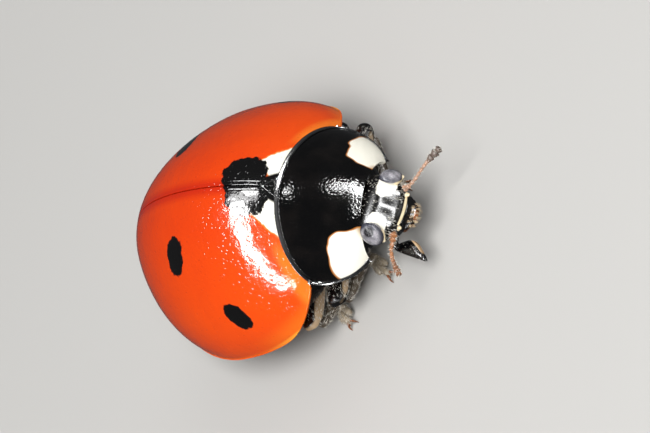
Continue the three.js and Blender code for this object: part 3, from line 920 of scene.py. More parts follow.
for name, side, (aside, forward, up), half_sizes, pseudopupil_place, hidden_growth in EYE_PLACES:
    facing = Vector((side * 0.78, -0.36, 0.52)).normalized()
    bpy.ops.mesh.primitive_ico_sphere_add(subdivisions=5, radius=1, scale=Vector(half_sizes) * MM)
    eye = close_up(bpy.context.object, "eye_globe_" + name)
    open_up(eye)
    pick(eye, lambda spot: spot.co.z < -0.02 * MM)
    scale((0.8, 0.8, hidden_growth), (0, 0, 0))
    close_up(eye)
    turned = facing.to_track_quat("Z", "Y").to_matrix().to_4x4()
    eye.matrix_world = Matrix.Translation(straight_head(side * aside, forward, up)) @ turned
    close_up(eye)
    bpy.ops.object.shade_smooth()
    turn_with_head(eye)
    eye_finish, tree, place = new_finish("eye_" + name)
    lens_edge = cells_knot(tree, place, LENSES_PER_MM, feature="DISTANCE_TO_EDGE")
    cloud = ramp_knot(tree, noise_knot(tree, place, 9.0, 4.0, 0.7), 0.35, 0.7)
    grey = mix_knot(tree, cloud, EYE_DARK_GREY, EYE_PALE_GREY)
    eye_middle = HEAD_CENTRE + HEAD_TURN @ Vector((side * aside, -forward, up))
    from_middle = vector_knot(tree, "SUBTRACT", place, eye_middle)
    across_axis = vector_knot(tree, "CROSS_PRODUCT", from_middle, HEAD_TURN @ facing)
    from_axis = vector_knot(tree, "LENGTH", across_axis)
    # Painted shade: the eye darkens to near black towards its rim, away from its axis.
    grey = mix_knot(tree, ramp_knot(tree, from_axis, 0.165, 0.235), grey, EYE_RIM_SHADE)
    # A painted pseudopupil: a fixed dark patch facing forward stands in for the dark spot the lenses show
    # towards the viewer.
    from_pseudopupil = vector_knot(tree, "DISTANCE", place, HEAD_CENTRE + HEAD_TURN @ Vector(pseudopupil_place))
    grey = mix_knot(tree, ramp_knot(tree, from_pseudopupil, 0.13, 0.08), grey, PAINTED_PSEUDOPUPIL)
    grey = mix_knot(tree, ramp_knot(tree, lens_edge, 0.09, 0.0, 0.0, 0.5), grey, LENS_GAP)
    bump = bump_knot(tree, ramp_knot(tree, lens_edge, 0.0, 0.25), 0.0015)
    set_shader(tree, Base_Color=grey, Roughness=0.22, Normal=bump, IOR=1.45)
    dress(eye, eye_finish, "eye_" + name)


# ------------------------------------------------------------ the mouthparts
# Below the face: a narrow clypeus with a cream front edge, a broad black upper lip, two brown
# jaws and a lower lip, each a small hard plate jointed to the one above.

head_forward = (HEAD_TURN @ Vector((0, -1, 0))).normalized()
# The knobs at the ends of the clypeus's edge: side, how low and how far out.
EDGE_KNOBS = ((-1, 0.035, 0.34), (1, -0.01, 0.32))
KNOB_SIZE = (0.062 * MM, 0.05 * MM, 0.04 * MM)
LIP_EDGE_BROWN = (0.30, 0.11, 0.04, 1)
IVORY = ((0.62, 0.44, 0.20, 1), (0.90, 0.82, 0.60, 1))
JAW_BROWN = ((0.05, 0.016, 0.006, 1), (0.24, 0.085, 0.025, 1))
UP = Vector((0, 0, 1))


def curved_plate(name, half_width, thickness, height, forward, up, bulge):
    """A bar across the face, bowed forward at its middle and narrowing to its ends."""
    bpy.ops.mesh.primitive_cube_add(
        size=1, scale=(2 * half_width * MM, thickness * MM, height * MM),
        location=straight_head(0, forward - thickness / 2, up))
    plate = close_up(bpy.context.object, name)
    open_up(plate)
    select_all()
    bpy.ops.mesh.subdivide(number_cuts=7)
    middle = straight_head(0, forward, up)
    for spot in bmesh.from_edit_mesh(plate.data).verts:
        u = abs(spot.co.x - middle.x) / (half_width * MM)
        spot.co.y += bulge * MM * u ** 2.2
        spot.co.z = middle.z + (spot.co.z - middle.z) * (1 - 0.45 * u ** 3)
    close_up(plate)
    round_edges(plate, 0.02, 3, 0.7)
    bpy.ops.object.shade_smooth()
    return plate


def join(pieces, name):
    """Joins several pieces into the first and renames it."""
    take(pieces[0])
    for piece in pieces[1:]:
        piece.select_set(True)
    bpy.ops.object.join()
    return close_up(bpy.context.object, name)


def mottled(name, per_mm, browns, roughness, grain=0, depth=0.002, detail=3.0):
    """Horn clouded between two colours, with a fine grain if it has one; its parts come back too."""
    finish, tree, place = new_finish(name)
    colour = mix_knot(tree, noise_knot(tree, place, per_mm, detail, 0.6), *browns)
    set_shader(tree, Base_Color=colour, Roughness=roughness)
    if grain:
        height = group_knot(tree, grain_group, place, grain)
        set_shader(tree, Normal=bump_knot(tree, height, depth))
    return finish, tree, place, colour


clypeus = curved_plate("clypeus_plate", 0.31, 0.16, 0.05, 0.565, -0.065, 0.05)
turn_with_head(clypeus)
dress(clypeus, head_black, "clypeus")
edge_parts = [curved_plate("clypeus_edge", 0.29, 0.05, 0.034, 0.598, -0.05, 0.05)]
for side, drop, out in EDGE_KNOBS:
    bpy.ops.mesh.primitive_uv_sphere_add(
        segments=20, ring_count=12, radius=1, scale=KNOB_SIZE,
        location=straight_head(side * out, 0.545, -0.05 - drop))
    knob = close_up(bpy.context.object, "end_knob")
    open_up(knob)
    pick(knob, lambda spot: spot.co.y < straight_head(0, 0.54, 0).y)
    scale((0.7, 1.3, 0.8), straight_head(side * 0.33, 0.53, -0.06))
    close_up(knob)
    bpy.ops.object.shade_smooth()
    edge_parts.append(knob)
clypeus_edge = join(edge_parts, "clypeus_edge")
turn_with_head(clypeus_edge)
ivory = mottled("ivory_chitin", 6.0, IVORY, 0.3, grain=25.0)[0]
dress(clypeus_edge, ivory)

upper_lip = curved_plate("upper_lip", 0.36, 0.26, 0.28, 0.60, -0.22, 0.17)
open_up(upper_lip)
pick(upper_lip, lambda spot: spot.co.z < straight_head(0, 0, -0.25).z)
scale((0.85, 1, 1), straight_head(0, 0.3, -0.25))
move((0, -0.07 * MM, 0))
close_up(upper_lip)
turn_with_head(upper_lip)
lip_black, tree, place, colour = black_chitin("lip_black", roughness=0.13, cells=26.0, depth=0.001, gloss=0.8)
reach = vector_knot(tree, "DOT_PRODUCT", vector_knot(tree, "SUBTRACT", place, HEAD_CENTRE), head_forward)
set_shader(tree, Base_Color=mix_knot(tree, ramp_knot(tree, reach, 0.645, 0.668), colour, LIP_EDGE_BROWN))
dress(upper_lip, lip_black, "labrum")


def raised(name, rings, sides=16):
    """A closed solid drawn up through level rings: x, y, z, half x and half y in millimetres."""
    bpy.ops.mesh.primitive_circle_add(vertices=sides, radius=1 * MM, location=(0, 0, 0))
    piece = close_up(bpy.context.object, name)
    open_up(piece)
    select_all()
    last_spot, last_x, last_y = Vector((0, 0, 0)), 1.0, 1.0
    for k, (x, y, z, half_x, half_y) in enumerate(rings):
        spot = Vector((x, y, z)) * MM
        next_ring(k, spot - last_spot, (half_x / last_x, half_y / last_y, 1), spot)
        last_spot, last_x, last_y = spot, half_x, half_y
    low = rings[0][2] * MM
    close_ends(piece, lambda spot: abs(spot.co.z - low) < 1e-7)
    return close_up(piece)


def raised_straight(name, rings, sides=16):
    """The same through rings in line over the origin: z, half x and half y in millimetres."""
    return raised(name, [(0, 0, *ring) for ring in rings], sides)


def copy_between(master, name, start, end, width=1.0, depth=1.0, length=None, face=UP):
    """A copy of a piece made along +Z, 1 mm long, laid from start to end with its -Y side towards face."""
    take(master)
    bpy.ops.object.duplicate()
    copy = bpy.context.object
    along = (end - start).normalized()
    sideways = along.cross(face).normalized()
    outward = sideways.cross(along)
    stretch = (end - start).length / MM if length is None else length
    copy.matrix_world = axes_at(
        start, [part * width for part in sideways], [-part * depth for part in outward],
        [part * stretch for part in along])
    return close_up(copy, name)


# A jaw: a hooked, wedge-shaped plate, thick where it hinges and sharp at its inner tip.
jaw = raised("jaw", [
    (0, 0, 0.0, 0.05, 0.05), (0, 0, 0.04, 0.12, 0.09), (0.01, 0, 0.3, 0.15, 0.10),
    (0.04, 0.01, 0.6, 0.12, 0.085), (0.10, 0.02, 0.85, 0.07, 0.06), (0.15, 0.02, 1.0, 0.02, 0.02),
], sides=12)
smooth(jaw, 2)
horn_brown = mottled("horn_brown", 5.0, JAW_BROWN, 0.28, grain=28.0)[0]
for name, side in (("left", 1), ("right", -1)):
    hinge, jaw_tip = straight_head(side * 0.24, 0.02, -0.52), straight_head(side * 0.01, 0.14, -0.56)
    mandible = copy_between(jaw, "jaw_" + name, hinge, jaw_tip, width=0.8, depth=0.9)
    turn_with_head(mandible)
    dress(mandible, horn_brown, "mandible_" + name)
bpy.data.objects.remove(jaw)

lower_lip = raised("lower_lip", [
    (0, -0.02, -0.66, 0.10, 0.08), (0, -0.01, -0.65, 0.18, 0.14), (0, 0, -0.60, 0.23, 0.17),
    (0, 0.02, -0.54, 0.24, 0.18), (0, 0.04, -0.46, 0.18, 0.14),
], sides=20)
open_up(lower_lip)
select_all()
move(straight_head(0, -0.02, 0))
close_up(lower_lip)
smooth(lower_lip, 2)
turn_with_head(lower_lip)
BELLY_CHITIN = {"roughness": 0.34, "cells": 18.0, "depth": 0.004, "pit_depth": 0.8}
belly_black = black_chitin("belly_black", **BELLY_CHITIN)[0]
dress(lower_lip, belly_black, "labium")

# A thin cream strip of the cheek runs into the front of each eye.
strip_master = raised_straight("cheek_strip", [
    (0.0, 0.03, 0.02), (0.05, 0.06, 0.035), (0.5, 0.055, 0.04), (0.95, 0.045, 0.03), (1.0, 0.02, 0.015),
], sides=10)
smooth(strip_master, 2)
cheek_strips = join([
    copy_between(
        strip_master, "cheek", straight_head(side * 0.46, 0.36, 0.17), straight_head(side * 0.68, 0.40, 0.06),
        width=0.9, face=Vector((0, -0.5, 1)))
    for side in (-1, 1)
], "cheek_strips")
turn_with_head(cheek_strips)
dress(cheek_strips, ivory)
bpy.data.objects.remove(strip_master)


# ------------------------------------------------------------ the feelers
# Eleven brown joints each, strung end to end: a long thick first one, small cup-shaped ones,
# and a darker club of three at the tip.

FEELER_JOINTS = (1.7, 1.0, 1.15, 1.0, 0.9, 0.85, 0.8, 0.8, 1.0, 1.0, 0.9)
FEELER_WIDTHS = (0.075, 0.055, 0.042, 0.040, 0.038, 0.038, 0.040, 0.044, 0.075, 0.092, 0.080)
FIRST_CLUB_JOINT = 8
JOINT_OVERLAP = 0.008 * MM
ROUTE_STEPS = 60
FEELER_SWELL = {"left": 1.0, "right": 1.2}
# The animal's two feelers are alike. Here the left shaft is painted paler and pinker as painted light, the
# right deeper as painted shade, and the two clubs are painted apart too.
FEELER_LIT_AND_SHADED_BROWNS = {
    "left": ((0.26, 0.12, 0.07, 1), (0.70, 0.43, 0.29, 1)),
    "right": ((0.20, 0.07, 0.025, 1), (0.58, 0.26, 0.11, 1)),
}
CLUB_LIT_AND_SHADED_BROWNS = {"left": (0.14, 0.10, 0.08, 1), "right": (0.26, 0.11, 0.05, 1)}
FEELER_PATHS = {
    "left": [(0.34, -3.80, -0.10), (0.30, -4.01, -0.06), (0.41, -4.27, -0.02), (0.61, -4.48, 0.01),
             (0.80, -4.68, 0.0), (0.96, -4.88, -0.01)],
    "right": [(-0.50, -3.72, -0.14), (-0.70, -3.80, -0.12), (-0.92, -3.80, -0.12), (-1.12, -3.86, -0.15),
              (-1.30, -3.97, -0.18), (-1.44, -4.07, -0.21)],
}
feeler_cup = raised_straight("feeler_cup", [
    (0.0, 0.45, 0.45), (0.10, 0.62, 0.62), (0.55, 0.92, 0.92), (0.85, 1.0, 1.0), (0.97, 0.82, 0.82),
    (1.0, 0.5, 0.5),
], sides=14)
smooth(feeler_cup, 1)


def along_route(spots, reach):
    """The place that lies this far along a row of spots."""
    for a, b in zip(spots, spots[1:]):
        step = (b - a).length
        if reach <= step:
            return a.lerp(b, reach / step)
        reach -= step
    return spots[-1]


feelers = {}
for name, route in FEELER_PATHS.items():
    fine = [on_body(through(route, k / ROUTE_STEPS)) for k in range(ROUTE_STEPS + 1)]
    total = sum((b - a).length for a, b in zip(fine, fine[1:]))
    reaches = [sum(FEELER_JOINTS[:k]) / sum(FEELER_JOINTS) * total for k in range(len(FEELER_JOINTS) + 1)]
    cups = []
    for k, width in enumerate(FEELER_WIDTHS):
        start = along_route(fine, reaches[k])
        end = along_route(fine, reaches[k + 1] + JOINT_OVERLAP)
        girth = width * (FEELER_SWELL[name] if k < FIRST_CLUB_JOINT else 2 - FEELER_SWELL[name])
        cups.append(copy_between(feeler_cup, "cup", start, end, width=girth, depth=girth))
    feelers[name] = join(cups, "feeler_" + name)
    brown, tree, place, shaft = mottled("feeler_brown_" + name, 12.0, FEELER_LIT_AND_SHADED_BROWNS[name], 0.34, grain=40.0)
    from_tip = vector_knot(tree, "DISTANCE", place, (on_body(route[-1]) - DOME_CENTRE) / MM)
    on_club = ramp_knot(tree, from_tip, 0.42, 0.28)
    set_shader(tree, Base_Color=mix_knot(tree, on_club, shaft, CLUB_LIT_AND_SHADED_BROWNS[name]))
    dress(feelers[name], brown, "antenna_" + name)
bpy.data.objects.remove(feeler_cup)


# ------------------------------------------------------------ the palps
# A pair of short jointed mouth feelers. Each ends in a broad axe-shaped blade, glossy black
# with a pale tasting edge. The right one is stretched out, the left folded under the head.

# The blade in its own plane: narrow where it is jointed, with the long slanted cutting edge ahead.
BLADE_OUTLINE = [(-0.05, 0.0), (-0.17, 0.16), (-0.255, 0.36), (-0.27, 0.5), (-0.20, 0.64), (-0.05, 0.80),
                 (0.09, 0.94), (0.17, 1.0), (0.20, 0.94), (0.17, 0.72), (0.13, 0.4), (0.075, 0.1),
                 (0.03, -0.01)]
BLADE_CORNERS = 52
BLADE_HALF = 0.05
BLADE_WIDTH = 0.75
BLADE_FACING = Vector((-0.2, -0.42, 0.88))
# Each ring of a blade's face shrinks and stands out by a share of the face's bulge.
BLADE_DOME = ((0.9, 0.2), (0.9, -0.5), (0.75, 1.0), (0.5, 0.6))
PALE_EDGE = (0.55, 0.36, 0.20, 1)
PALP_PLACES = {
    "right": [(-0.38, -3.44, -0.44), (-0.56, -3.42, -0.49), (-0.69, -3.45, -0.52), (-0.86, -4.22, -0.68)],
    "left": [(0.26, -3.52, -0.54), (0.34, -3.40, -0.62), (0.30, -3.26, -0.70), (0.06, -3.10, -0.84)],
}

palp_rod = raised_straight("palp_rod", [
    (0.0, 0.5, 0.5), (0.06, 0.75, 0.75), (0.6, 0.95, 0.95), (0.9, 1.0, 1.0), (1.0, 0.6, 0.6),
], sides=12)
smooth(palp_rod, 1)


def turn_of(spot):
    return math.atan2(spot.co.x, -spot.co.y)


bpy.ops.mesh.primitive_circle_add(
    vertices=BLADE_CORNERS, radius=1 * MM, fill_type="NGON", location=(0, 0, 0))
palp_blade = close_up(bpy.context.object, "palp_blade")
open_up(palp_blade)
for k, spot in enumerate(sorted(bmesh.from_edit_mesh(palp_blade.data).verts, key=turn_of)):
    run = k / BLADE_CORNERS * len(BLADE_OUTLINE)
    (x, z), (next_x, next_z) = BLADE_OUTLINE[int(run)], BLADE_OUTLINE[(int(run) + 1) % len(BLADE_OUTLINE)]
    part = run - int(run)
    spot.co = Vector((x + (next_x - x) * part, BLADE_HALF, z + (next_z - z) * part)) * MM
select_all()
extrude((0, -2 * BLADE_HALF * MM, 0))
face_out()
for face_y, bulge in ((-BLADE_HALF * MM, -0.02 * MM), (BLADE_HALF * MM, 0.03 * MM)):
    pick(palp_blade, lambda spot: abs(spot.co.y - face_y) < HAIR_BREADTH)
    for shrink, rise in BLADE_DOME:
        extrude((0, bulge * rise, 0))
        scale((shrink, 1, shrink), Vector((-0.05, 0, 0.5)) * MM)
close_up(palp_blade)
round_edges(palp_blade, 0.004, 2, 0.7)
bpy.ops.object.shade_smooth_by_angle(angle=0.9)

palps = {}
for name, joints in PALP_PLACES.items():
    root, first, second, tip = [on_body(joint) for joint in joints]
    palps[name] = join([
        copy_between(palp_rod, "palp_part", root, first, width=0.065, depth=0.065),
        copy_between(palp_rod, "palp_part", first, second, width=0.075, depth=0.075),
        copy_between(palp_blade, "palp_part", second, tip, width=BLADE_WIDTH, face=BLADE_FACING),
    ], "palp_blade_" + name)
    palp_finish, tree, place, colour = black_chitin("palp_black_" + name, cells=30.0, depth=0.001, gloss=0.8)

    # The pale edge lies beyond the slanted line from the outline's upper corner to its tip.
    blade_run = (tip - second) / MM
    blade_side = blade_run.cross(BLADE_FACING).normalized()
    upper_corner = (second - DOME_CENTRE) / MM + 0.36 * blade_run - 0.255 * BLADE_WIDTH * blade_side
    outward = -0.64 * blade_run.length * blade_side + 0.425 * BLADE_WIDTH * blade_run.normalized()
    from_corner = vector_knot(tree, "SUBTRACT", place, upper_corner)
    edge = ramp_knot(tree, vector_knot(tree, "DOT_PRODUCT", from_corner, outward.normalized()), 0.035, 0.05)
    set_shader(tree, Base_Color=mix_knot(tree, edge, colour, PALE_EDGE), IOR=1.7)
    dress(palps[name], palp_finish, "palp_" + name)
bpy.data.objects.remove(palp_rod)
bpy.data.objects.remove(palp_blade)


# ------------------------------------------------------------ the underside
# Below the wing cases the body is three hard black regions: a ring under the neck shield, the
# broad breast plate that holds the hips, and the belly of six overlapping hoops.

LINING = 0.25
TUBE_SIDES = 64
# y and half width of each ring.
NECK_STATIONS = [(-3.02, 0.7), (-2.98, 0.85), (-2.8, 1.05), (-2.6, 1.18), (-2.42, 1.26), (-2.28, 1.28),
                 (-2.22, 1.2)]
BREAST_STATIONS = [-1.84, -1.81, -1.74, -1.6, -1.35, -1.1, -0.85, -0.6, -0.4, -0.25, -0.17, -0.13]
BREAST_ENDS_DRAWN_IN = 0.93
BELLY_HOOPS = 6
HOOP_LENGTH = 0.4
BELLY_FRONT = -0.1
BELLY_REACH = 2.56
BELLY_TIP = (2.42, 0.7, 0.5, 0.1)
# How far along a hoop, and how much it stands proud there.
HOOP_PROFILE = ((0.0, -0.035), (0.04, -0.03), (0.3, -0.008), (0.7, 0.012), (0.92, 0.02), (0.985, 0.008))
SIDE_PLATE_CREAM = (0.74, 0.66, 0.46, 1)


def body_tube(name, stations):
    """A closed tube along the body. Each station gives y, half width, height above and depth below."""
    tube = add_upright_ring(name, TUBE_SIDES)
    select_all()
    last_y, last_half, last_crest = 0.0, 1.0, 1.0
    for k, (y, half, crest, depth) in enumerate(stations):
        growth = (half / last_half, 1, crest / last_crest)
        next_ring(k, (0, (y - last_y) * MM, 0), growth, on_body((0, y, 0)))
        last_y, last_half, last_crest = y, half, crest
    front_y = on_body((0, stations[0][0], 0)).y
    close_ends(tube, lambda spot: abs(spot.co.y - front_y) < HAIR_BREADTH)
    for y, half, crest, depth in stations:
        there = on_body((0, y, 0))
        pick(tube, lambda spot: abs(spot.co.y - there.y) < HAIR_BREADTH
             and spot.co.z < there.z - HAIR_BREADTH)
        scale((1, 1, depth / crest), there)
    face_out()
    return close_up(tube)


def hollow_of_cases(y):
    """Half width and height of the room under the wing cases."""
    return dome_half_width(y * MM) / MM - LINING, max(dome_height(y * MM) / MM - LINING, 0.05)


def neck_height(y, half):
    return 0.08 + 0.85 * (half - 0.5) ** 0.7 - 0.25 * (-2.2 - y)


def breast_ring(y):
    """The breast is shallower and narrower towards the neck, and drawn in at its two ends."""
    half, crest = hollow_of_cases(y)
    depth = 0.6 - 0.25 * max(0, (-1.7 - y) / 0.35) ** 2
    if y < -1.82 or y > -0.15:
        depth *= BREAST_ENDS_DRAWN_IN
    return y, half - 0.5 * max(0, -0.8 - y), crest, depth


neck_ring = body_tube("neck_ring", [
    (y, half, neck_height(y, half), 0.46 + 0.03 * half) for y, half in NECK_STATIONS
])
smooth(neck_ring, 1)

# The breast's midline furrow.
breast = body_tube("breast", [breast_ring(y) for y in BREAST_STATIONS])
open_up(breast)
pick(breast, lambda spot: abs(spot.co.x) < 0.05 * MM and spot.co.z < DOME_CENTRE.z - 0.4 * MM)
move((0, 0, 0.04 * MM))
close_up(breast)
smooth(breast, 1)

belly_stations = []
for hoop in range(BELLY_HOOPS):
    for run, lift in HOOP_PROFILE:
        y = BELLY_FRONT + (hoop + run) * HOOP_LENGTH
        half, crest = hollow_of_cases(y)
        depth = 0.57 * math.sqrt(fall_off(y / BELLY_REACH, 2.4)) + lift
        belly_stations.append((y, half + 0.4 * lift, crest, depth))
belly = body_tube("belly_hoops", belly_stations + [BELLY_TIP])
round_edges(belly, 0.012, 2, 0.7)
bpy.ops.object.shade_smooth_by_angle(angle=0.9)

# The breast has a pale plate on each side, just behind the shoulder of the wing case.
breast_black, tree, place, colour = black_chitin("breast_black", **BELLY_CHITIN)
across, aside, along, up = split_place(tree, place)
mirrored = knot(tree, "CombineXYZ", aside, along, up)
side_plate = group_knot(
    tree, spot_group, mirrored, (1.32, -1.5, -0.45), (2.6, -1.2, 0), (1.6, 4.0, 1.6), 0.2, 0.06)
side_plate = math_knot(tree, "MULTIPLY", side_plate, ramp_knot(tree, up, -0.28, -0.34))
set_shader(tree, Base_Color=mix_knot(tree, side_plate, colour, SIDE_PLATE_CREAM))
dress(neck_ring, belly_black, "prothorax")
dress(breast, breast_black, "thorax")
dress(belly, belly_black, "abdomen")


# ------------------------------------------------------------ the legs
# Six short black legs, half tucked in. Each has a round hip, a flat spindle-shaped thigh with
# a groove under it for the shin, a shin that widens to its spurs, and a padded foot.

COXA_LEVEL = -0.5
HIP_LEVEL = -0.42
KNEE_LEVEL = -0.37
SHIN_TOP_LEVEL = -0.62
ANKLE_LEVEL = -0.96
FLOOR_LEVEL = -1.2
LEG_PLACES = [
    # name, side, hip pivot, thigh's start, knee, ankle, toe, where the knee's painted highlight rim starts
    ("front_left", 1, (0.3, -2.5), (0.8, -2.12), (1.92, -1.98), (1.0, -2.16), (0.98, -2.74), 0.208),
    ("front_right", -1, (0.3, -2.5), (0.8, -1.88), (1.53, -2.06), (0.40, -1.94), (0.92, -2.70), 0.208),
    ("middle_left", 1, (0.4, -1.2), (0.85, -1.2), (2.08, -1.22), (1.34, -1.2), (1.72, -1.72), 0.208),
    ("middle_right", -1, (0.4, -1.2), (0.85, -1.2), (1.92, -1.38), (1.34, -1.28), (1.78, -1.72), 0.175),
    ("hind_left", 1, (0.45, 0.02), (0.9, 0.12), (1.85, 0.72), (1.3, 1.12), (1.66, 1.8), 0.208),
    ("hind_right", -1, (0.45, 0.02), (0.9, 0.12), (1.82, 0.76), (1.26, 1.14), (1.6, 1.82), 0.208),
]
RIM_HIGHLIGHT_FADE = 0.024
RIM_HIGHLIGHT_BROWN = (0.50, 0.36, 0.22, 1)
SHIN_BROWNS = ((0.02, 0.016, 0.012, 1), (0.16, 0.12, 0.08, 1))
CLAW_BROWNS = ((0.07, 0.02, 0.008, 1), (0.30, 0.11, 0.04, 1))
FOOT_BROWNS = ((0.14, 0.105, 0.07, 1), (0.46, 0.39, 0.29, 1))

hip_master = raised_straight("hip", [
    (-0.19, 0.05, 0.04), (-0.17, 0.12, 0.09), (-0.08, 0.20, 0.15), (0.0, 0.22, 0.17), (0.1, 0.20, 0.16),
    (0.18, 0.12, 0.10), (0.2, 0.05, 0.04),
], sides=20)
smooth(hip_master, 1)

thigh_master = raised_straight("thigh", [
    (0.0, 0.07, 0.06), (0.03, 0.13, 0.10), (0.16, 0.19, 0.14), (0.38, 0.235, 0.17), (0.6, 0.25, 0.18),
    (0.8, 0.235, 0.175), (0.91, 0.20, 0.16), (0.975, 0.14, 0.12), (1.0, 0.07, 0.06),
], sides=24)
open_up(thigh_master)
pick(thigh_master, lambda spot: spot.co.y > 0.08 * MM and abs(spot.co.x) < 0.12 * MM and spot.co.z > 0.3 * MM)
move((0, -0.12 * MM, 0))
pick(thigh_master, lambda spot: spot.co.y > 0.05 * MM and abs(spot.co.x) > 0.12 * MM and spot.co.z > 0.3 * MM)
move((0, 0.025 * MM, 0))
close_up(thigh_master)
smooth(thigh_master, 2)

shin_master = raised("shin", [
    (0, 0, 0.0, 0.04, 0.05), (0, 0, 0.02, 0.08, 0.08), (0, 0.01, 0.12, 0.10, 0.095),
    (0, 0.01, 0.4, 0.115, 0.10),
    (0, 0, 0.75, 0.15, 0.12), (0, 0, 0.93, 0.165, 0.13), (0, 0, 0.975, 0.15, 0.12), (0, 0, 0.985, 0.11, 0.09),
    (0, 0, 0.96, 0.08, 0.06),
], sides=20)
smooth(shin_master, 1)
spur_master = raised("spur", [
    (0, 0, 0.0, 0.02, 0.02), (0, 0, 0.4, 0.015, 0.015), (0.02, 0, 0.8, 0.009, 0.009),
    (0.05, 0, 1.0, 0.002, 0.002),
], sides=8)
bpy.ops.object.shade_smooth()
spurs = [
    copy_between(spur_master, "spur", Vector((side * 0.09, -0.05, 0.94)) * MM,
                 Vector((side * 0.12, -0.09, 1.12)) * MM)
    for side in (-1, 1)
]
shin_master = join([shin_master] + spurs, "shin")

# The foot: a cone, a two-lobed pad, and a slender last joint that bears the claws.
foot_cone = raised_straight("foot_cone", [
    (0.0, 0.05, 0.05), (0.02, 0.07, 0.06), (0.2, 0.10, 0.075), (0.34, 0.12, 0.08), (0.38, 0.09, 0.05),
])
foot_lobe = raised("foot_lobe", [
    (0, 0, 0.22, 0.03, 0.03), (0, 0, 0.26, 0.08, 0.05), (0.02, 0.01, 0.4, 0.10, 0.06),
    (0.05, 0.01, 0.55, 0.09, 0.055),
    (0.07, 0.01, 0.66, 0.06, 0.04), (0.075, 0.01, 0.69, 0.02, 0.015),
], sides=14)
other_lobe = mirror_copy(foot_lobe, "foot_lobe")
foot_last = raised("foot_last", [
    (0, -0.03, 0.4, 0.035, 0.03), (0, -0.035, 0.5, 0.045, 0.04), (0, -0.03, 0.7, 0.045, 0.045),
    (0, -0.02, 0.88, 0.06, 0.055), (0, -0.01, 0.94, 0.055, 0.05), (0, -0.01, 0.96, 0.03, 0.03),
], sides=14)
foot_master = join([foot_cone, foot_lobe, other_lobe, foot_last], "foot")
smooth(foot_master, 1)

# A pair of hooked claws, each with a broad tooth at its base.
claw_master = raised("claw", [
    (0.02, -0.01, 0.90, 0.02, 0.03), (0.03, -0.01, 0.93, 0.026, 0.035), (0.05, 0.0, 0.98, 0.022, 0.028),
    (0.075, 0.03, 1.03, 0.015, 0.018), (0.085, 0.075, 1.055, 0.009, 0.01), (0.085, 0.11, 1.06, 0.002, 0.002),
], sides=10)
claw_tooth = raised("claw_tooth", [
    (0.035, 0.01, 0.93, 0.014, 0.014), (0.04, 0.035, 0.95, 0.013, 0.013), (0.042, 0.06, 0.965, 0.003, 0.003),
], sides=8)
claw = join([claw_master, claw_tooth], "claw")
claw_pair = join([claw, mirror_copy(claw, "claw")], "claw_pair")
smooth(claw_pair, 1)


def leg_black(name, knee, hip, highlight_rim_start):
    """Black limb chitin with a leathery grain, and a pale brown rim painted beyond its knee as a highlight.
    """
    finish, tree, place, colour = black_chitin(name, cells=24.0, depth=0.003, pit_depth=0.3)
    glossy = ramp_knot(tree, vector_knot(tree, "DISTANCE", place, knee), 0.34, 0.2)
    roughness = math_knot(tree, "SUBTRACT", 0.32, math_knot(tree, "MULTIPLY", glossy, 0.22))
    outward = (knee - hip).normalized()
    sideways = Vector((-outward.y, outward.x, 0))
    offset = vector_knot(tree, "SUBTRACT", place, knee)
    beyond = math_knot(tree, "MAXIMUM", vector_knot(tree, "DOT_PRODUCT", offset, outward), 0.0)
    aside = vector_knot(tree, "DOT_PRODUCT", offset, sideways)
    from_middle = vector_knot(tree, "LENGTH", knot(tree, "CombineXYZ", beyond, aside, 0.0))
    # Painted highlight: a pale brown rim along the thigh's edges beyond the knee stands in for the lamps'
    # reflection there.
    rim = ramp_knot(tree, from_middle, highlight_rim_start, highlight_rim_start + RIM_HIGHLIGHT_FADE, 0.0, 0.85)
    set_shader(tree, Roughness=roughness, Base_Color=mix_knot(tree, rim, colour, RIM_HIGHLIGHT_BROWN))
    return finish


shin_brown, tree, place, colour = black_chitin(
    "shin_brown", roughness=0.3, cells=24.0, depth=0.003, pit_depth=0.3)
set_shader(tree, Base_Color=mix_knot(tree, noise_knot(tree, place, 5.0, 3.0, 0.6), *SHIN_BROWNS))
claw_brown = mottled("claw_brown", 14.0, CLAW_BROWNS, 0.25, detail=2.0)[0]
foot_brown = mottled("foot_brown", 7.0, FOOT_BROWNS, 0.4, grain=26.0, depth=0.003)[0]

legs = {}
for name, side, hip_spot, thigh_spot, knee_spot, ankle_spot, toe_spot, highlight_rim_start in LEG_PLACES:
    hip_place = Vector((side * hip_spot[0], hip_spot[1], COXA_LEVEL))
    thigh_start = Vector((side * thigh_spot[0], thigh_spot[1], HIP_LEVEL))
    knee = Vector((side * knee_spot[0], knee_spot[1], KNEE_LEVEL))
    shin_top = Vector((knee.x, knee.y, SHIN_TOP_LEVEL))
    ankle = Vector((side * ankle_spot[0], ankle_spot[1], ANKLE_LEVEL))
    foot_start = on_body((ankle.x, ankle.y, FLOOR_LEVEL + 0.16))
    toe = on_body((side * toe_spot[0], toe_spot[1], FLOOR_LEVEL + 0.13))
    outward = (knee - thigh_start).normalized()
    limb_black = leg_black("leg_black_" + name, knee, thigh_start, highlight_rim_start)

    hip = copy_between(
        hip_master, "hip_" + name, on_body(hip_place), on_body(hip_place + outward * 0.9), length=1.0)
    thigh = copy_between(
        thigh_master, "thigh_" + name, on_body(thigh_start - outward * 0.16), on_body(knee + outward * 0.2))
    shin = copy_between(
        shin_master, "shin_" + name, on_body(shin_top), on_body(ankle + UP * 0.02), width=1.15, depth=1.15)
    foot = copy_between(foot_master, "foot_" + name, foot_start, toe, width=1.25, depth=1.6)
    claws = copy_between(claw_pair, "claws_" + name, foot_start, toe, width=1.2, depth=1.2)
    dress(hip, limb_black, "coxa_" + name)
    dress(thigh, limb_black, "femur_" + name)
    dress(shin, shin_brown, "tibia_" + name)
    dress(foot, foot_brown, "tarsus_" + name)
    dress(claws, claw_brown)
    legs[name] = thigh, shin, foot
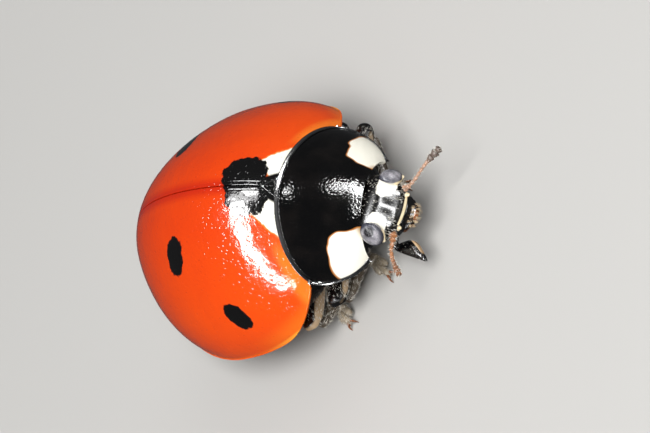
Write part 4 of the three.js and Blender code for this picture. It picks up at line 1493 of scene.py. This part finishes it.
for master in (hip_master, thigh_master, shin_master, spur_master, foot_master, claw_pair):
    bpy.data.objects.remove(master)


# ------------------------------------------------------------ the hairs
# Fine pale bristles: rows on the crown and face, a fringe on the upper lip, rings on the
# feelers, a short nap on legs and belly. Each is a thin curved spike rooted in its plate.

HAIR_SIDES = 3
STRAY = 0.13
HAIR_SPOT = 0.0015
SILVER = ((0.46, 0.43, 0.37, 1), (0.90, 0.87, 0.79, 1))
AMBER = ((0.30, 0.16, 0.07, 1), (0.82, 0.66, 0.42, 1))


def give_unwrap(skin):
    """Unwraps a skin once, because its hairs are baked from the places of their roots."""
    take(skin)
    if not skin.data.uv_layers:
        bpy.ops.object.mode_set(mode="EDIT")
        select_all()
        bpy.ops.uv.smart_project(angle_limit=1.15, island_margin=0.01)
        bpy.ops.object.mode_set(mode="OBJECT")


def blend(spots, shares, start):
    """The middle of several places, each with its share."""
    return sum((spot * share for spot, share in zip(spots, shares)), start) / sum(shares)


def hair_coat(name, skin, count, length, thickness, flow, lift, where, seed):
    """Roots `count` hairs over the faces of a skin, leaning from its normal towards `flow`."""
    give_unwrap(skin)
    shape = skin.data
    unwrap = shape.uv_layers.active.data
    chance = random.Random(seed)
    faces = [face for face in shape.polygons if where((face.center - DOME_CENTRE) / MM, face.normal)]
    half = thickness * MM / 2
    points, polygons, places = [], [], []
    for face in chance.choices(faces, weights=[face.area for face in faces], k=count):
        corners = [shape.vertices[k].co for k in face.vertices]
        shares = [chance.random() for corner in corners]
        root = blend(corners, shares, Vector())
        u, v = blend([unwrap[k].uv for k in face.loop_indices], shares, Vector((0, 0)))
        normal = face.normal
        way = (flow - flow.dot(normal) * normal).normalized()
        stray = Vector((chance.gauss(0, STRAY), chance.gauss(0, STRAY), chance.gauss(0, STRAY)))
        reach = length * MM * chance.uniform(0.65, 1.15)
        rise = (normal * lift + way * (1 - lift) + stray).normalized()
        bend = (normal * lift * 0.45 + way + stray).normalized()
        sideways = rise.cross(bend)
        if sideways.length < 1e-4:
            sideways = rise.orthogonal()
        sideways.normalize()
        upward = sideways.cross(rise)
        middle = root + rise * reach * 0.55
        tip = middle + bend * reach * 0.5
        if min(middle.z - half, tip.z) < 0:
            middle.z, tip.z = max(middle.z, root.z), max(tip.z, root.z)
        first = len(points)
        for centre, wide in ((root - normal * half, half), (middle, half * 0.75)):
            for k in range(HAIR_SIDES):
                turn = 2 * math.pi * k / HAIR_SIDES
                points.append(centre + wide * (math.cos(turn) * sideways + math.sin(turn) * upward))
        points.append(tip)
        for k in range(HAIR_SIDES):
            low, low_next = first + k, first + (k + 1) % HAIR_SIDES
            polygons.append((low, low_next, low_next + HAIR_SIDES, low + HAIR_SIDES))
            polygons.append((low + HAIR_SIDES, low_next + HAIR_SIDES, first + 2 * HAIR_SIDES))
        ring = [(u + HAIR_SPOT * math.cos(2.1 * k), v + HAIR_SPOT * math.sin(2.1 * k))
                for k in range(HAIR_SIDES)]
        places.extend(ring + ring + [(u, v)])
    coat_shape = bpy.data.meshes.new(name)
    coat_shape.from_pydata(points, [], polygons)
    bake = coat_shape.uv_layers.new(name="OFBake")
    for loop in coat_shape.loops:
        bake.data[loop.index].uv = places[loop.vertex_index]
    coat = bpy.data.objects.new(name, coat_shape)
    bpy.context.scene.collection.objects.link(coat)
    take(coat)
    bpy.ops.object.shade_smooth()
    return coat


def hair_finish(name, dark, pale):
    """Horny hair, a little paler from strand to strand."""
    finish, tree, place = new_finish(name)
    mottle = ramp_knot(tree, noise_knot(tree, place, 16.0, 1.0, 0.5), 0.35, 0.65)
    set_shader(tree, Base_Color=mix_knot(tree, mottle, dark, pale), Roughness=0.38)
    return finish


silver_hair = hair_finish("silver_hair", *SILVER)
amber_hair = hair_finish("amber_hair", *AMBER)


def in_head_frame(place):
    """Side, forward and up of a body place, in millimetres from the head's centre."""
    straight = HEAD_TURN.transposed() @ (place - HEAD_CENTRE)
    return straight.x, -straight.y, straight.z


def on_crown(place, normal):
    side, forward, up = in_head_frame(place)
    return abs(side) < 0.5 and up > 0.34 and forward < 0.22


def on_brow(place, normal):
    side, forward, up = in_head_frame(place)
    return 0.16 < abs(side) < 0.56 and -0.12 < up < 0.14 and forward > 0.25


def on_face(place, normal):
    side, forward, up = in_head_frame(place)
    return abs(side) < 0.3 and -0.05 < up < 0.3 and forward > 0.2


def on_lip_front(place, normal):
    side, forward, up = in_head_frame(place)
    if normal.dot(head_forward) < 0.1 or forward < 0.56:
        return False
    return forward > 0.63 or up < -0.2 or abs(side) > 0.25


def anywhere(place, normal):
    return True


def underneath(place, normal):
    return normal.z < -0.1 and place.z < -0.15


down_face = (head_forward * 0.6 - UP).normalized()
BACKWARDS = Vector((0, 1, 0))
COATS = [
    # name, skin, hairs, length, thickness, flow, lift, where it grows, seed, finish, slot
    ("crown", head, 120, 0.065, 0.011, down_face, 0.3, on_crown, 11, silver_hair, "black_plate"),
    ("brow", head, 90, 0.10, 0.011, down_face, 0.5, on_brow, 12, silver_hair, "black_plate"),
    ("face", head, 22, 0.05, 0.011, down_face, 0.35, on_face, 13, silver_hair, "black_plate"),
    ("upper_lip", upper_lip, 150, 0.10, 0.008, down_face, 0.7, on_lip_front, 14, amber_hair, "black_plate"),
]
for name, route in FEELER_PATHS.items():
    flow = (on_body(route[-1]) - on_body(route[0])).normalized()
    COATS.append(("feeler_" + name, feelers[name], 240, 0.06, 0.010, flow, 0.65, anywhere, 15,
                  silver_hair, "brown_horn"))
for name, joints in PALP_PLACES.items():
    flow = (on_body(joints[-1]) - on_body(joints[0])).normalized()
    COATS.append(("palp_" + name, palps[name], 70, 0.045, 0.006, flow, 0.35, anywhere, 16,
                  silver_hair, "black_plate"))
for name, skin, count, length, thickness, flow, lift, where, seed, finish, slot in COATS:
    coat = hair_coat("hair_" + name, skin, count, length, thickness, flow, lift, where, seed)
    dress(coat, finish)


def along_ground(side, start, end, drop):
    """The way from one spot of a leg to another, with a drop, as a direction."""
    return Vector((side * (end[0] - start[0]), end[1] - start[1], drop)).normalized()


for name, side, hip_spot, thigh_spot, knee_spot, ankle_spot, toe_spot, highlight_rim_start in LEG_PLACES:
    thigh, shin, foot = legs[name]
    knee = Vector((side * knee_spot[0], knee_spot[1], KNEE_LEVEL))
    outward = along_ground(side, thigh_spot, knee_spot, 0)
    slanted = (outward - 0.8 * BACKWARDS).normalized()
    inward = along_ground(side, knee_spot, ankle_spot, -0.1)
    toewards = along_ground(side, ankle_spot, toe_spot, -0.1)

    def off_knee(place, normal):
        return (place - knee).dot(outward) < 0.05

    coat = join([
        hair_coat("nap", thigh, 560, 0.08, 0.009, slanted, 0.14, off_knee, 17),
        hair_coat("nap", shin, 420, 0.085, 0.008, inward, 0.3, anywhere, 18),
        hair_coat("nap", foot, 420, 0.085, 0.007, toewards, 0.35, anywhere, 19),
    ], "hair_leg_" + name)
    dress(coat, silver_hair)

TRUNK_COATS = (("neck", neck_ring, 250, 20), ("breast", breast, 1300, 21), ("belly", belly, 1900, 22))
for name, skin, count, seed in TRUNK_COATS:
    coat = hair_coat("hair_" + name, skin, count, 0.09, 0.007, BACKWARDS, 0.22, underneath, seed)
    dress(coat, silver_hair)
